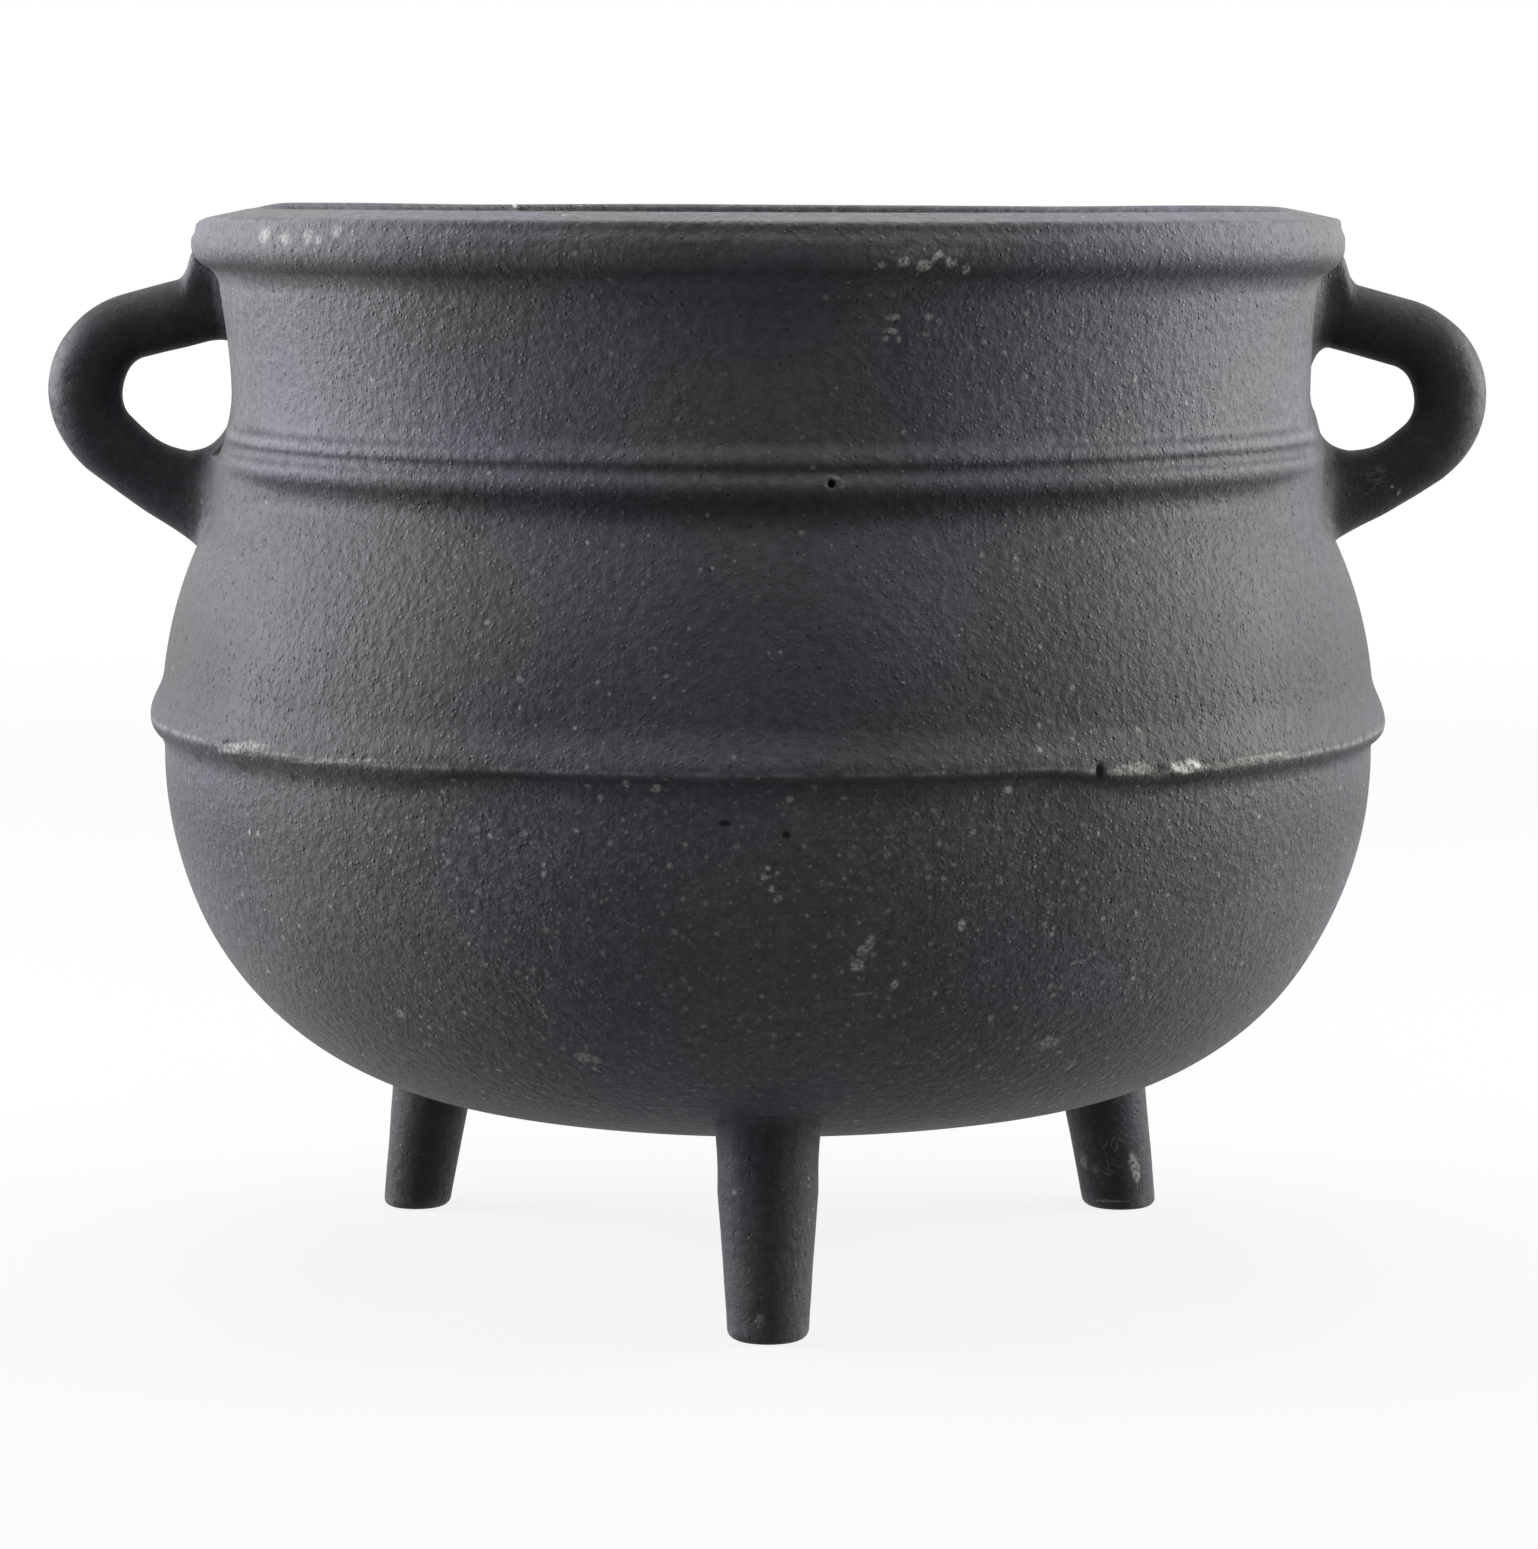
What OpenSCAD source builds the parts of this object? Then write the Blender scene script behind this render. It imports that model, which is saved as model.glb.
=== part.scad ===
// Three-legged cast iron cauldron with a beaded lip, two neck ridges, a belly band and two fixed ears.
// Millimetres. The origin is on the floor at the pot's axis, +Z is up, the front foot points to -Y
// and the ears point to -X and +X.

/* [Pot] */
// Outer diameter at the narrowest place of the neck, which the other widths follow
neck_d = 187.4; // [160:0.2:220]
// How far the lip bead stands out from the neck
lip_proud = 6.3; // [5.5:0.1:9]
// How far the belly beside its band stands out from the neck
belly_proud = 12.3; // [10:0.1:16]
// Thickness of the cast wall
wall_t = 4.5; // [3.5:0.25:6]

/* [Bowl] */
// Height of the bowl's lowest point above the floor
bowl_lift = 26.2; // [20:0.2:32]
// Radius of the shallow dome that closes the bottom
dome_rad = 418; // [300:2:600]
// Radius of the round corner between the dome and the side
bilge_rad = 54; // [50:0.5:58]
// Radius of the side above that corner
side_rad = 65.5; // [61:0.5:72]
// Angle through which the side turns before it meets the corner
side_turn = 31; // [24:1:38]
// Step inwards of the lower mould half against the upper one
mould_step = 0.4; // [0.2:0.1:0.8]
// Height of the shoulder's centre above the widest line of the lower half
shoulder_rise = 5; // [4:0.5:7]

/* [Belly band] */
// Height of the band's crest above the widest line of the lower half
band_rise = 5.6; // [4.5:0.1:7]
// How far the crest stands proud of the belly
band_proud = 2; // [1:0.1:3]
// Height of the short step under the crest
band_under = 4.6; // [3:0.1:5]
// Height of the long slope over the crest
band_over = 8; // [6:0.5:11]

/* [Shoulder and cove] */
// Radius of the shoulder
shoulder_rad = 75; // [70:1:82]
// How far the bottom of the cove under the ridges stands out from the neck
cove_proud = 0.7; // [0.2:0.1:1.6]
// Radius of that cove
cove_rad = 4.5; // [3.5:0.25:6]

/* [Neck ridges] */
// How far the lower ridge stands proud of the cove
low_ridge_proud = 2; // [1.2:0.1:3]
// Height from the bottom of the cove to the lower ridge
low_ridge_rise = 5; // [4:0.5:7]
// Depth of the groove between the ridges, from the lower one
groove_deep = 1.3; // [0.8:0.1:1.6]
// Height from the lower ridge to the groove
groove_rise = 2.6; // [2.2:0.1:3.5]
// How far the upper ridge stands proud of the groove
high_ridge_proud = 0.4; // [0.2:0.1:0.8]
// Height from the groove to the upper ridge
high_ridge_rise = 1.3; // [1:0.1:2]
// Height from the upper ridge to the narrowest place of the neck
neck_foot_rise = 3.5; // [3:0.25:5]

/* [Neck and lip] */
// Height of the neck from its narrowest place to the underside of the lip
neck_h = 25.1; // [22:0.1:34]
// Radius of the neck's hollow outline
neck_rad = 170; // [140:5:260]
// Height of the lip bead
lip_h = 11; // [9:0.5:14]
// Radius of the hollow corner under the lip
lip_fillet = 2; // [1.2:0.1:2.4]
// Radius of the lip's lower edge
lip_edge = 1.6; // [1:0.1:2]
// Height over which the outside of the lip rounds over to its crown
crown_h = 8; // [5:0.25:8.25]
// Share of the lip's thickness that lies outside its highest line
crown_share = 0.68; // [0.5:0.02:0.8]
// Radius of the inner corner where the cavity narrows to the neck
throat_rad = 9; // [7:0.5:12]

/* [Ears] */
// Distance from the neck to the outermost point of an ear
ear_reach = 31.9; // [28:0.1:40]
// Diameter of the ear's two limbs
ear_limb_d = 12; // [10:0.25:13.5]
// Diameter of the ear at its bend
ear_bend_d = 13.6; // [11:0.2:15]
// Radius of the bend, at the middle of the bar
ear_bend_rad = 11.8; // [10.5:0.1:13]
// Angle by which the upper limb droops
ear_droop = 16; // [12:1:20]
// Angle by which the lower limb climbs from the shoulder
ear_climb = 32; // [26:1:38]
// Gap left between the upper limb's bar and the lip, which the root's flare fills
ear_under_lip = 0.7; // [0.2:0.1:1.5]
// How much the radius of an ear grows at its roots
root_flare = 3.2; // [2:0.1:4]
// Length over which a root flares
root_len = 10; // [8:0.5:12]

/* [Feet] */
// How far inside the belly the middle of each foot stands on the floor
foot_inset = 31; // [24:0.5:40]
// Angle by which the feet spread
foot_splay = 9.4; // [6:0.2:13]
// Diameter of a foot at the floor, before its edge is rounded
foot_tip_d = 13.2; // [11:0.2:16]
// Diameter of a foot where it meets the bowl, without its flare
foot_root_d = 16.6; // [15:0.2:20]
// Radius of the edge round the flat of a foot
foot_edge = 1.4; // [0.8:0.1:2]
// How much the radius of a foot grows where it meets the bowl
foot_flare = 0.6; // [0.3:0.1:1.5]
// Length over which it flares
foot_flare_len = 6; // [4:0.5:9]

/* [Hidden] */

iron = [0.21, 0.21, 0.225];
dark_iron = [0.16, 0.16, 0.17];

// Fineness of the outlines: longest chord and largest turn between two points
chord = 5;
turn_step = 18;
turns_fn = 180;
feet_count = 3;

// Distances from the pot's axis
neck_r = neck_d / 2;
lip_r = neck_r + lip_proud;
belly_r = neck_r + belly_proud;
cove_r = neck_r + cove_proud;
side_r = belly_r - mould_step;
foot_ring_r = belly_r - foot_inset;

// Steps for an arc of radius r that turns through the angle a
function steps(r, a) = ceil(max(abs(a) * PI / 180 * r / chord, abs(a) / turn_step, 1));
// Points along an arc round the centre c, from the angle a to the angle b
function arc(c, r, a, b) =
    let (n = steps(r, b - a)) [for (i = [0:n]) let (t = a + (b - a) * i / n) c + r * [cos(t), sin(t)]];
// The same without its first point, to follow on from another stretch
function next(pts) = [for (i = [1:len(pts) - 1]) pts[i]];
// Quarter of an ellipse round c with half axes w and h, from the angle a to the angle b
function oval(c, w, h, a, b) =
    let (n = steps(max(w, h), b - a)) [for (i = [0:n]) let (t = a + (b - a) * i / n) c + [w * cos(t), h * sin(t)]];
// Moulding curve: two arcs between the upright points p and q, with no straight between them.
// The arc at p is hollow when the outline moves outwards, and the arc at q then is round.
function ogee(p, q) =
    let (dr = q[0] - p[0], dz = q[1] - p[1], a = 2 * atan(abs(dr) / dz), r = dz / sin(a) / 2, s = sign(dr))
    concat(arc(p + [s * r, 0], r, s > 0 ? 180 : 0, s > 0 ? 180 - a : a),
           next(arc(q - [s * r, 0], r, s > 0 ? -a : 180 + a, s > 0 ? 0 : 180)));
function reversed(pts) = [for (i = [len(pts) - 1:-1:0]) pts[i]];

// The bowl is a chain of three arcs, each running into the next: side, bilge corner and dome
bilge_back = (side_rad - bilge_rad) * [cos(side_turn), -sin(side_turn)];
bilge_c0 = [side_r - side_rad, 0] + bilge_back;
dome_rise = sqrt(pow(dome_rad - bilge_rad, 2) - pow(bilge_c0[0], 2));
bowl_depth = dome_rad - dome_rise - bilge_c0[1];
side_z = bowl_lift + bowl_depth;
side_c = [side_r - side_rad, side_z];
bilge_c = side_c + bilge_back;
dome_c = [0, bowl_lift + dome_rad];
dome_end = atan2(bilge_c[1] - dome_c[1], bilge_c[0]);
// Outline of the bowl from its axis to its widest line, moved inwards by t
function bowl_line(t) = concat(
    arc(dome_c, dome_rad - t, -90, dome_end),
    next(arc(bilge_c, bilge_rad - t, dome_end, -side_turn)),
    next(arc(side_c, side_rad - t, -side_turn, 0)));
// Height of the bowl's outside at the distance r from the axis
bilge_from = bilge_c[0] + bilge_rad * cos(dome_end);
function bowl_z(r) = r < bilge_from
    ? dome_c[1] - sqrt(pow(dome_rad, 2) - pow(r, 2))
    : bilge_c[1] - sqrt(pow(bilge_rad, 2) - pow(r - bilge_c[0], 2));

// Heights, stacked from the bowl upwards
band_z = side_z + band_rise;
shoulder_z = side_z + shoulder_rise;
shoulder_c = [belly_r - shoulder_rad, shoulder_z];
cove_c = [cove_r + cove_rad,
          shoulder_z + sqrt(pow(shoulder_rad + cove_rad, 2) - pow(cove_r + cove_rad - shoulder_c[0], 2))];
low_ridge = [cove_r + low_ridge_proud, cove_c[1] + low_ridge_rise];
groove = low_ridge + [-groove_deep, groove_rise];
high_ridge = groove + [high_ridge_proud, high_ridge_rise];
neck_foot = [neck_r, high_ridge[1] + neck_foot_rise];
lip_z = neck_foot[1] + neck_h;
top_z = lip_z + lip_h;
face_z = top_z - crown_h;

// Angle of the shoulder arc where it runs into the cove
cove_turn = atan2(cove_c[1] - shoulder_c[1], cove_c[0] - shoulder_c[0]);
// Outer radius of the shoulder at the height z, without the band
function shoulder_r(z) = shoulder_c[0] + sqrt(pow(shoulder_rad, 2) - pow(z - shoulder_z, 2));
// Step under the band, from the bowl's side to the crest, and the slope that fades out over it
band_foot = [side_r, band_z - band_under];
band_turn = asin((band_z + band_over - shoulder_z) / shoulder_rad);
function band_slope(i, n) =
    let (z = band_z + band_over * i / n)
    [shoulder_r(z) + band_proud * (1 + cos(180 * i / n)) / 2, z];
band_steps = 8;

// Cove and lower ridge: the hollow arc of the cove, then a round nose of the radius that closes the step
nose_turn = 2 * atan(low_ridge_proud / low_ridge_rise);
nose_rad = low_ridge_rise / sin(nose_turn) - cove_rad;

// Neck outline, a very flat hollow arc that starts upright at the foot of the neck
neck_c = neck_foot + [neck_rad, 0];
function neck_at(z, t) = neck_c[0] - sqrt(pow(neck_rad + t, 2) - pow(z - neck_foot[1], 2));
function neck_turn(z, t) = 180 - asin((z - neck_foot[1]) / (neck_rad + t));
fillet_z = lip_z - lip_fillet;
fillet_r = neck_at(fillet_z, 0);
lip_in_r = neck_at(face_z, wall_t);
crown_r = lip_in_r + (lip_r - lip_in_r) * (1 - crown_share);
// The inside of the lip rounds over in a quarter circle
crown_in = crown_r - lip_in_r;

// Outside of the pot from the axis under the bowl to the top of the lip
outside = concat(
    bowl_line(0),
    next(ogee(band_foot, [shoulder_r(band_z) + band_proud, band_z])),
    [for (i = [1:band_steps]) band_slope(i, band_steps)],
    next(arc(shoulder_c, shoulder_rad, band_turn, cove_turn)),
    next(arc(cove_c, cove_rad, 180 + cove_turn, 180 - nose_turn)),
    next(arc(low_ridge - [nose_rad, 0], nose_rad, -nose_turn, 0)),
    next(ogee(low_ridge, groove)),
    next(ogee(groove, high_ridge)),
    next(ogee(high_ridge, neck_foot)),
    next(arc(neck_c, neck_rad, 180, neck_turn(fillet_z, 0))),
    next(arc([fillet_r + lip_fillet, fillet_z], lip_fillet, 180, 90)),
    arc([lip_r - lip_edge, lip_z + lip_edge], lip_edge, -90, 0),
    oval([crown_r, face_z], lip_r - crown_r, crown_h, 0, 90));

// Throat, where the cavity turns from the shoulder into the neck
throat_in = neck_r - wall_t;
throat_c = [throat_in + throat_rad,
            shoulder_z + sqrt(pow(shoulder_rad - wall_t + throat_rad, 2)
                          - pow(throat_in + throat_rad - shoulder_c[0], 2))];
throat_turn = atan2(throat_c[1] - shoulder_c[1], throat_c[0] - shoulder_c[0]);

// Inside of the pot from the axis in the bowl to the top of the lip
inside = concat(
    bowl_line(wall_t),
    arc(shoulder_c, shoulder_rad - wall_t, 0, throat_turn),
    next(arc(throat_c, throat_rad, 180 + throat_turn, 180)),
    arc(neck_c, neck_rad + wall_t, 180, neck_turn(face_z, wall_t)),
    arc([crown_r, top_z - crown_in], crown_in, 180, 90));

// Wall of the pot as one casting, with its lip, ridges and band
module pot_body() {
    color(iron)
        rotate_extrude($fn = turns_fn)
            polygon(concat(outside, next(reversed(inside))));
}

// The pot filled solid, which trims every piece that is seated on the wall
module filled_pot() {
    rotate_extrude($fn = turns_fn)
        polygon(concat(outside, [[0, top_z]]));
}

// Middle line of an ear in the plane of its loop: upper limb, bend and lower limb
ear_top_z = lip_z - ear_under_lip - ear_limb_d / 2 / cos(ear_droop);
bend_x = neck_r + ear_reach - ear_bend_d / 2 - ear_bend_rad;
bend_z = ear_top_z - (bend_x - neck_r) * tan(ear_droop) - ear_bend_rad / cos(ear_droop);
bend_c = [bend_x, bend_z];
// Both limbs start inside the wall, at this distance from the axis
root_x = throat_in;
ear_sides = 24;
limb_steps = 9;
bend_steps = 14;

upper_end = bend_c + ear_bend_rad * [sin(ear_droop), cos(ear_droop)];
lower_end = bend_c + ear_bend_rad * [sin(ear_climb), -cos(ear_climb)];
upper_start = [root_x, upper_end[1] + (upper_end[0] - root_x) * tan(ear_droop)];
lower_start = [root_x, lower_end[1] - (lower_end[0] - root_x) * tan(ear_climb)];

// Stations along an ear: place, heading angle, and share of the way from a limb to the bend's thickness
function limb(a, b, heading) = [for (i = [0:limb_steps - 1]) [a + (b - a) * i / limb_steps, heading, 0]];
bend_sweep = 180 - ear_droop - ear_climb;
bend_line = [for (i = [0:bend_steps])
    let (h = -ear_droop - bend_sweep * i / bend_steps)
    [bend_c + ear_bend_rad * [-sin(h), cos(h)], h, (1 - cos(360 * i / bend_steps)) / 2]];
ear_line = concat(
    limb(upper_start, upper_end, -ear_droop),
    bend_line,
    [for (i = [1:limb_steps])
        [lower_end + (lower_start - lower_end) * i / limb_steps, ear_climb - 180, 0]]);

// Radius of the bar at a station, with the flare that grows towards the wall
function flare(x) = root_flare * pow(max(0, min(1, 1 - (x - neck_r) / root_len)), 2);
function bar_r(s) = ear_limb_d / 2 + (ear_bend_d - ear_limb_d) / 2 * s[2] + flare(s[0][0]);
// One ring of points square to the heading, in the pot's own frame
function ring(s) = [for (i = [0:ear_sides - 1])
    let (t = 360 * i / ear_sides, up = bar_r(s) * cos(t))
    [s[0][0] - sin(s[1]) * up, bar_r(s) * sin(t), s[0][1] + cos(s[1]) * up]];

// Skin between the rings and a flat cap at each end
function wall_faces(rings, n) = [for (k = [0:rings - 2], i = [0:n - 1])
    let (a = k * n + i, b = k * n + (i + 1) % n) each [[a, b, b + n], [a, b + n, a + n]]];
function cap(first, n, flip) = [for (i = [1:n - 2])
    flip ? [first, first + i + 1, first + i] : [first, first + i, first + i + 1]];

module ear_bar() {
    rings = len(ear_line);
    polyhedron(
        points = [for (s = ear_line) each ring(s)],
        faces = concat(
            wall_faces(rings, ear_sides),
            cap(0, ear_sides, true),
            cap((rings - 1) * ear_sides, ear_sides, false)));
}

// One ear, cut off flush on the wall
module ear() {
    color(dark_iron)
        difference() {
            ear_bar();
            filled_pot();
        }
}

module right_ear() {
    ear();
}

module left_ear() {
    mirror([1, 0, 0]) ear();
}

// Height at which the middle of a foot meets the bowl, and its length along its own axis
foot_root_z = bowl_z(foot_ring_r - bowl_lift * tan(foot_splay));
foot_len = foot_root_z / cos(foot_splay);
foot_in_bowl = bilge_rad / 3;
foot_below = foot_tip_d / 2 * sin(foot_splay);
foot_taper = (foot_root_d - foot_tip_d) / 2 / foot_len;
flare_steps = 5;
// Radius of a foot at the height h along its axis, without the rounded edge
function foot_r(h) =
    foot_tip_d / 2 + foot_taper * h
    + foot_flare * pow(max(0, min(1, 1 - (foot_len - h) / foot_flare_len)), 2);
// Half section of a foot: rounded edge, tapering side, flare, and a root that runs on into the bowl
foot_section = concat(
    [[0, -foot_below]],
    arc([foot_r(0) - foot_edge, foot_edge - foot_below], foot_edge, -90, 0),
    [for (i = [0:flare_steps])
        let (h = foot_len - foot_flare_len * (1 - i / flare_steps)) [foot_r(h), h]],
    [[foot_r(foot_len), foot_len + foot_in_bowl], [0, foot_len + foot_in_bowl]]);

// Flat ground that cuts the feet level
module ground() {
    side = 4 * belly_r;
    translate([-side / 2, -side / 2, -side])
        cube(side);
}

// One foot, turned about the pot's axis, leaning out at the floor and cut to the bowl and the ground
module foot(turn) {
    color(dark_iron)
        difference() {
            rotate([0, 0, turn])
                translate([0, -foot_ring_r, 0])
                    rotate([-foot_splay, 0, 0])
                        rotate_extrude($fn = turns_fn)
                            polygon(foot_section);
            filled_pot();
            ground();
        }
}

module front_foot() {
    foot(0);
}

module rear_left_foot() {
    foot(-360 / feet_count);
}

module rear_right_foot() {
    foot(360 / feet_count);
}

pot_body();
left_ear();
right_ear();
front_foot();
rear_left_foot();
rear_right_foot();
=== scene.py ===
# %% [markdown]
# # A small cast iron cauldron
#
# The pot is one casting in sand: a round bowl with a belly band, a necked shoulder, two ridges, a beaded lip,
# two fixed ears and three splayed feet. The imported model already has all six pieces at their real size, with
# plain skins. Here each piece is modelled again with what a plain skin lacks: smooth mouldings, the wobble of a
# sand mould, roots that swell out of the wall, blow holes, chips, and a ragged line where the mould halves met.

# %% Load the frame
import math

import bmesh
import bpy
from mathutils import Matrix, Vector, noise
from mathutils.bvhtree import BVHTree


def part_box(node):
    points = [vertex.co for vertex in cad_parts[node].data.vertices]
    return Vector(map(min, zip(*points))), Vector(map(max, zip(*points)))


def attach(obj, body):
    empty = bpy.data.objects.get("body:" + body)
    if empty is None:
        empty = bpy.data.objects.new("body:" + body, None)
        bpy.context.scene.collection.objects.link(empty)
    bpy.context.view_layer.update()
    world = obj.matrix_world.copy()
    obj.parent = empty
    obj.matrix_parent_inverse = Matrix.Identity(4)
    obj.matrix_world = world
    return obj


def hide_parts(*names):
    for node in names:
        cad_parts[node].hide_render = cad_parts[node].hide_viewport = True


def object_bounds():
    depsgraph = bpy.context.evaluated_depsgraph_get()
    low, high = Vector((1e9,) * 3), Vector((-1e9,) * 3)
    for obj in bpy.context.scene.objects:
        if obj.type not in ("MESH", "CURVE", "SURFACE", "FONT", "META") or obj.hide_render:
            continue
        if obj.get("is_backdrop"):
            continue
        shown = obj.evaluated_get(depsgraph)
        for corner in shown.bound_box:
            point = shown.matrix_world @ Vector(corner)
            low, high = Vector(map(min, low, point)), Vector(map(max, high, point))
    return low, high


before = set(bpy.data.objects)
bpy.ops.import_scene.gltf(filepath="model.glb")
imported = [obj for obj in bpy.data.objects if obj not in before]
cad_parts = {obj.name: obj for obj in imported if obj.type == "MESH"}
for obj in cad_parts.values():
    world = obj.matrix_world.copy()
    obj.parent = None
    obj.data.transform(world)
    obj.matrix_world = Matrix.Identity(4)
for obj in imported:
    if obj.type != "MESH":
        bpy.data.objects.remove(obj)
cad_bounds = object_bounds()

print("pieces in the frame:", ", ".join(sorted(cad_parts)))

# %% [markdown]
# Blender counts in metres, but a founder's sizes read best in millimetres. Every size below is in millimetres,
# and a finished mesh is shrunk once, by MM, just before it becomes an object.

# %% Read the sizes that the looks must keep
MM = 0.001
pot_low, pot_high = (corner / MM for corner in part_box("pot_body"))
crest_r = max(pot_high.x, pot_high.y)
top_z = pot_high.z
bowl_lift = pot_low.z
print(f"band crest radius {crest_r:.2f} mm, lip top {top_z:.2f} mm, bowl {bowl_lift:.2f} mm off the floor")

# %% [markdown]
# ## Camera
# The photo was taken from almost one metre, a little above the lip and tilted down. A lens is stated by how
# many pixels of the photo one unit of slope covers, because that is what can be measured on it. Placing the
# camera first lets a mark be given by its pixel: a ray through the pixel finds its place on the iron.

# %% Place the camera
PHOTO_W, PHOTO_H = 1538, 1549
FOCAL_PX = 5400
OPTIC_X, OPTIC_Y = 768, 774.5
CAMERA_FAR, CAMERA_HIGH = 944.6, 194.3
CAMERA_TILT = math.radians(6.64)
SENSOR_W = 36

lens = bpy.data.cameras.new("photo_lens")
lens.sensor_fit = "HORIZONTAL"
lens.sensor_width = SENSOR_W
lens.lens = FOCAL_PX / PHOTO_W * SENSOR_W
lens.shift_x = (PHOTO_W / 2 - OPTIC_X) / PHOTO_W
lens.clip_end = 50
camera = bpy.data.objects.new("camera", lens)
camera.location = (0, -CAMERA_FAR * MM, CAMERA_HIGH * MM)
camera.rotation_euler = (math.pi / 2 - CAMERA_TILT, 0, 0)
bpy.context.scene.collection.objects.link(camera)
bpy.context.scene.camera = camera
bpy.context.scene.view_settings.view_transform = "Standard"
print(f"lens {lens.lens:.1f} mm")


def photo_ray(px, py):
    """Direction from the camera through a pixel of the photo."""
    local = Vector((px - OPTIC_X, OPTIC_Y - py, -FOCAL_PX))
    return (camera.rotation_euler.to_matrix() @ local).normalized()


# %% [markdown]
# ## The outline of the pot
# A founder sweeps such a pot with a board, so its section is a chain of arcs that run into each other. The two
# helpers below draw an arc, and the moulding that carpenters call an ogee: a hollow arc that turns into a round
# one, with no straight between. The steps between points are short where the shape is small.

# %% Helpers for the outline
WIDE_STEP = 1.8
FINE_STEP = 0.42


def arc(centre, radius, start, end, step=WIDE_STEP):
    """Points along an arc, from the angle start to the angle end, in degrees."""
    turn = math.radians(end - start)
    count = max(3, math.ceil(abs(turn) * radius / step))
    angles = [math.radians(start) + turn * i / count for i in range(count + 1)]
    return [Vector((centre[0] + radius * math.cos(a), centre[1] + radius * math.sin(a))) for a in angles]


def ogee(foot, head, step=FINE_STEP):
    """Two equal arcs between the upright points foot and head."""
    out, rise = head[0] - foot[0], head[1] - foot[1]
    turn = 2 * math.degrees(math.atan(abs(out) / rise))
    radius = rise / math.sin(math.radians(turn)) / 2
    if out > 0:
        return (arc((foot[0] + radius, foot[1]), radius, 180, 180 - turn, step)
                + arc((head[0] - radius, head[1]), radius, -turn, 0, step))
    return (arc((foot[0] - radius, foot[1]), radius, 0, turn, step)
            + arc((head[0] + radius, head[1]), radius, 180 + turn, 180, step))


# %% [markdown]
# The lower mould half gives the bowl: a shallow dome, a tight corner and a side, each arc tangent to the next.
# The wall is 4.5 mm thick all round, so the inside is the same chain with every radius shortened by it.

# %% Outline of the bowl
wall_t = 4.5
band_proud = 2
belly_r = crest_r - band_proud
mould_step = 0.4
side_r = belly_r - mould_step
side_rad, bilge_rad, dome_rad = 65.5, 54, 418
side_turn = 31

turn = math.radians(side_turn)
bilge_back = (side_rad - bilge_rad) * Vector((math.cos(turn), -math.sin(turn)))
bilge_x = side_r - side_rad + bilge_back[0]
side_z = bowl_lift + dome_rad - math.sqrt((dome_rad - bilge_rad) ** 2 - bilge_x ** 2) - bilge_back[1]
side_c = Vector((side_r - side_rad, side_z))
bilge_c = side_c + bilge_back
dome_c = Vector((0, bowl_lift + dome_rad))
dome_end = math.degrees(math.atan2(bilge_c[1] - dome_c[1], bilge_c[0]))


def bowl_line(inset, step):
    """The bowl's section from the axis to its widest line, moved inwards by inset."""
    return (arc(dome_c, dome_rad - inset, -90, dome_end, 2 * step)
            + arc(bilge_c, bilge_rad - inset, dome_end, -side_turn, step)
            + arc(side_c, side_rad - inset, -side_turn, 0, step))


print(f"bowl is widest at {side_z:.1f} mm")

# %% [markdown]
# The upper half adds the band, whose crest is the line where the two halves met, a long shoulder, and a cove
# that throws the dark line under the ridges.

# %% Outline of the shoulder and the neck
band_z = side_z + 5.6
band_under, band_over, band_steps = 4.6, 8, 12
shoulder_rad = 75
shoulder_c = Vector((belly_r - shoulder_rad, side_z + 5))
neck_r = belly_r - 12.3
cove_r, cove_rad = neck_r + 0.7, 4.5
nose_out, nose_rise = 2, 5
neck_rad = 170


def shoulder_at(z):
    """Radius of the shoulder at the height z, without the band."""
    return shoulder_c[0] + math.sqrt(shoulder_rad ** 2 - (z - shoulder_c[1]) ** 2)


band_slope = []
for i in range(1, band_steps + 1):
    z = band_z + band_over * i / band_steps
    fade = (1 + math.cos(math.pi * i / band_steps)) / 2
    band_slope.append(Vector((shoulder_at(z) + band_proud * fade, z)))

reach = shoulder_rad + cove_rad
cove_out = cove_r + cove_rad - shoulder_c[0]
cove_c = Vector((cove_r + cove_rad, shoulder_c[1] + math.sqrt(reach ** 2 - cove_out ** 2)))
cove_turn = math.degrees(math.atan2(cove_c[1] - shoulder_c[1], cove_out))
band_turn = math.degrees(math.asin((band_z + band_over - shoulder_c[1]) / shoulder_rad))
nose_turn = 2 * math.degrees(math.atan(nose_out / nose_rise))
nose_rad = nose_rise / math.sin(math.radians(nose_turn)) - cove_rad

low_ridge = Vector((cove_r + nose_out, cove_c[1] + nose_rise))
groove = low_ridge + Vector((-1.3, 2.6))
high_ridge = groove + Vector((0.4, 1.3))
neck_foot = Vector((neck_r, high_ridge[1] + 3.5))
neck_c = neck_foot + Vector((neck_rad, 0))
print(f"ridges at {low_ridge[1]:.1f} and {high_ridge[1]:.1f} mm, neck {2 * neck_r:.1f} mm wide")


# %% [markdown]
# The lip is a bead about 11 mm high that rolls back onto the neck in one long ogee. From the mouth's edge a narrow
# land falls outwards to a worn corner, which is why the photo shows a pale band along the top. Under the corner
# the bead is slightly hollow, and that draws the thin dark line below the band.

# %% Outline of the lip and the inside
lip_r = neck_r + 6.3
lip_foot_z, lip_roll = top_z - 14.2, 8
lip_z = lip_foot_z + lip_roll / 2
land_drop, land_back, land_edge, hollow_rise = 1.25, 0.75, 0.9, 3
mouth_h = 8
throat_rad = 9


def neck_turn(z, inset):
    """Angle on the neck's hollow arc at the height z."""
    return 180 - math.degrees(math.asin((z - neck_foot[1]) / (neck_rad + inset)))


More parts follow.
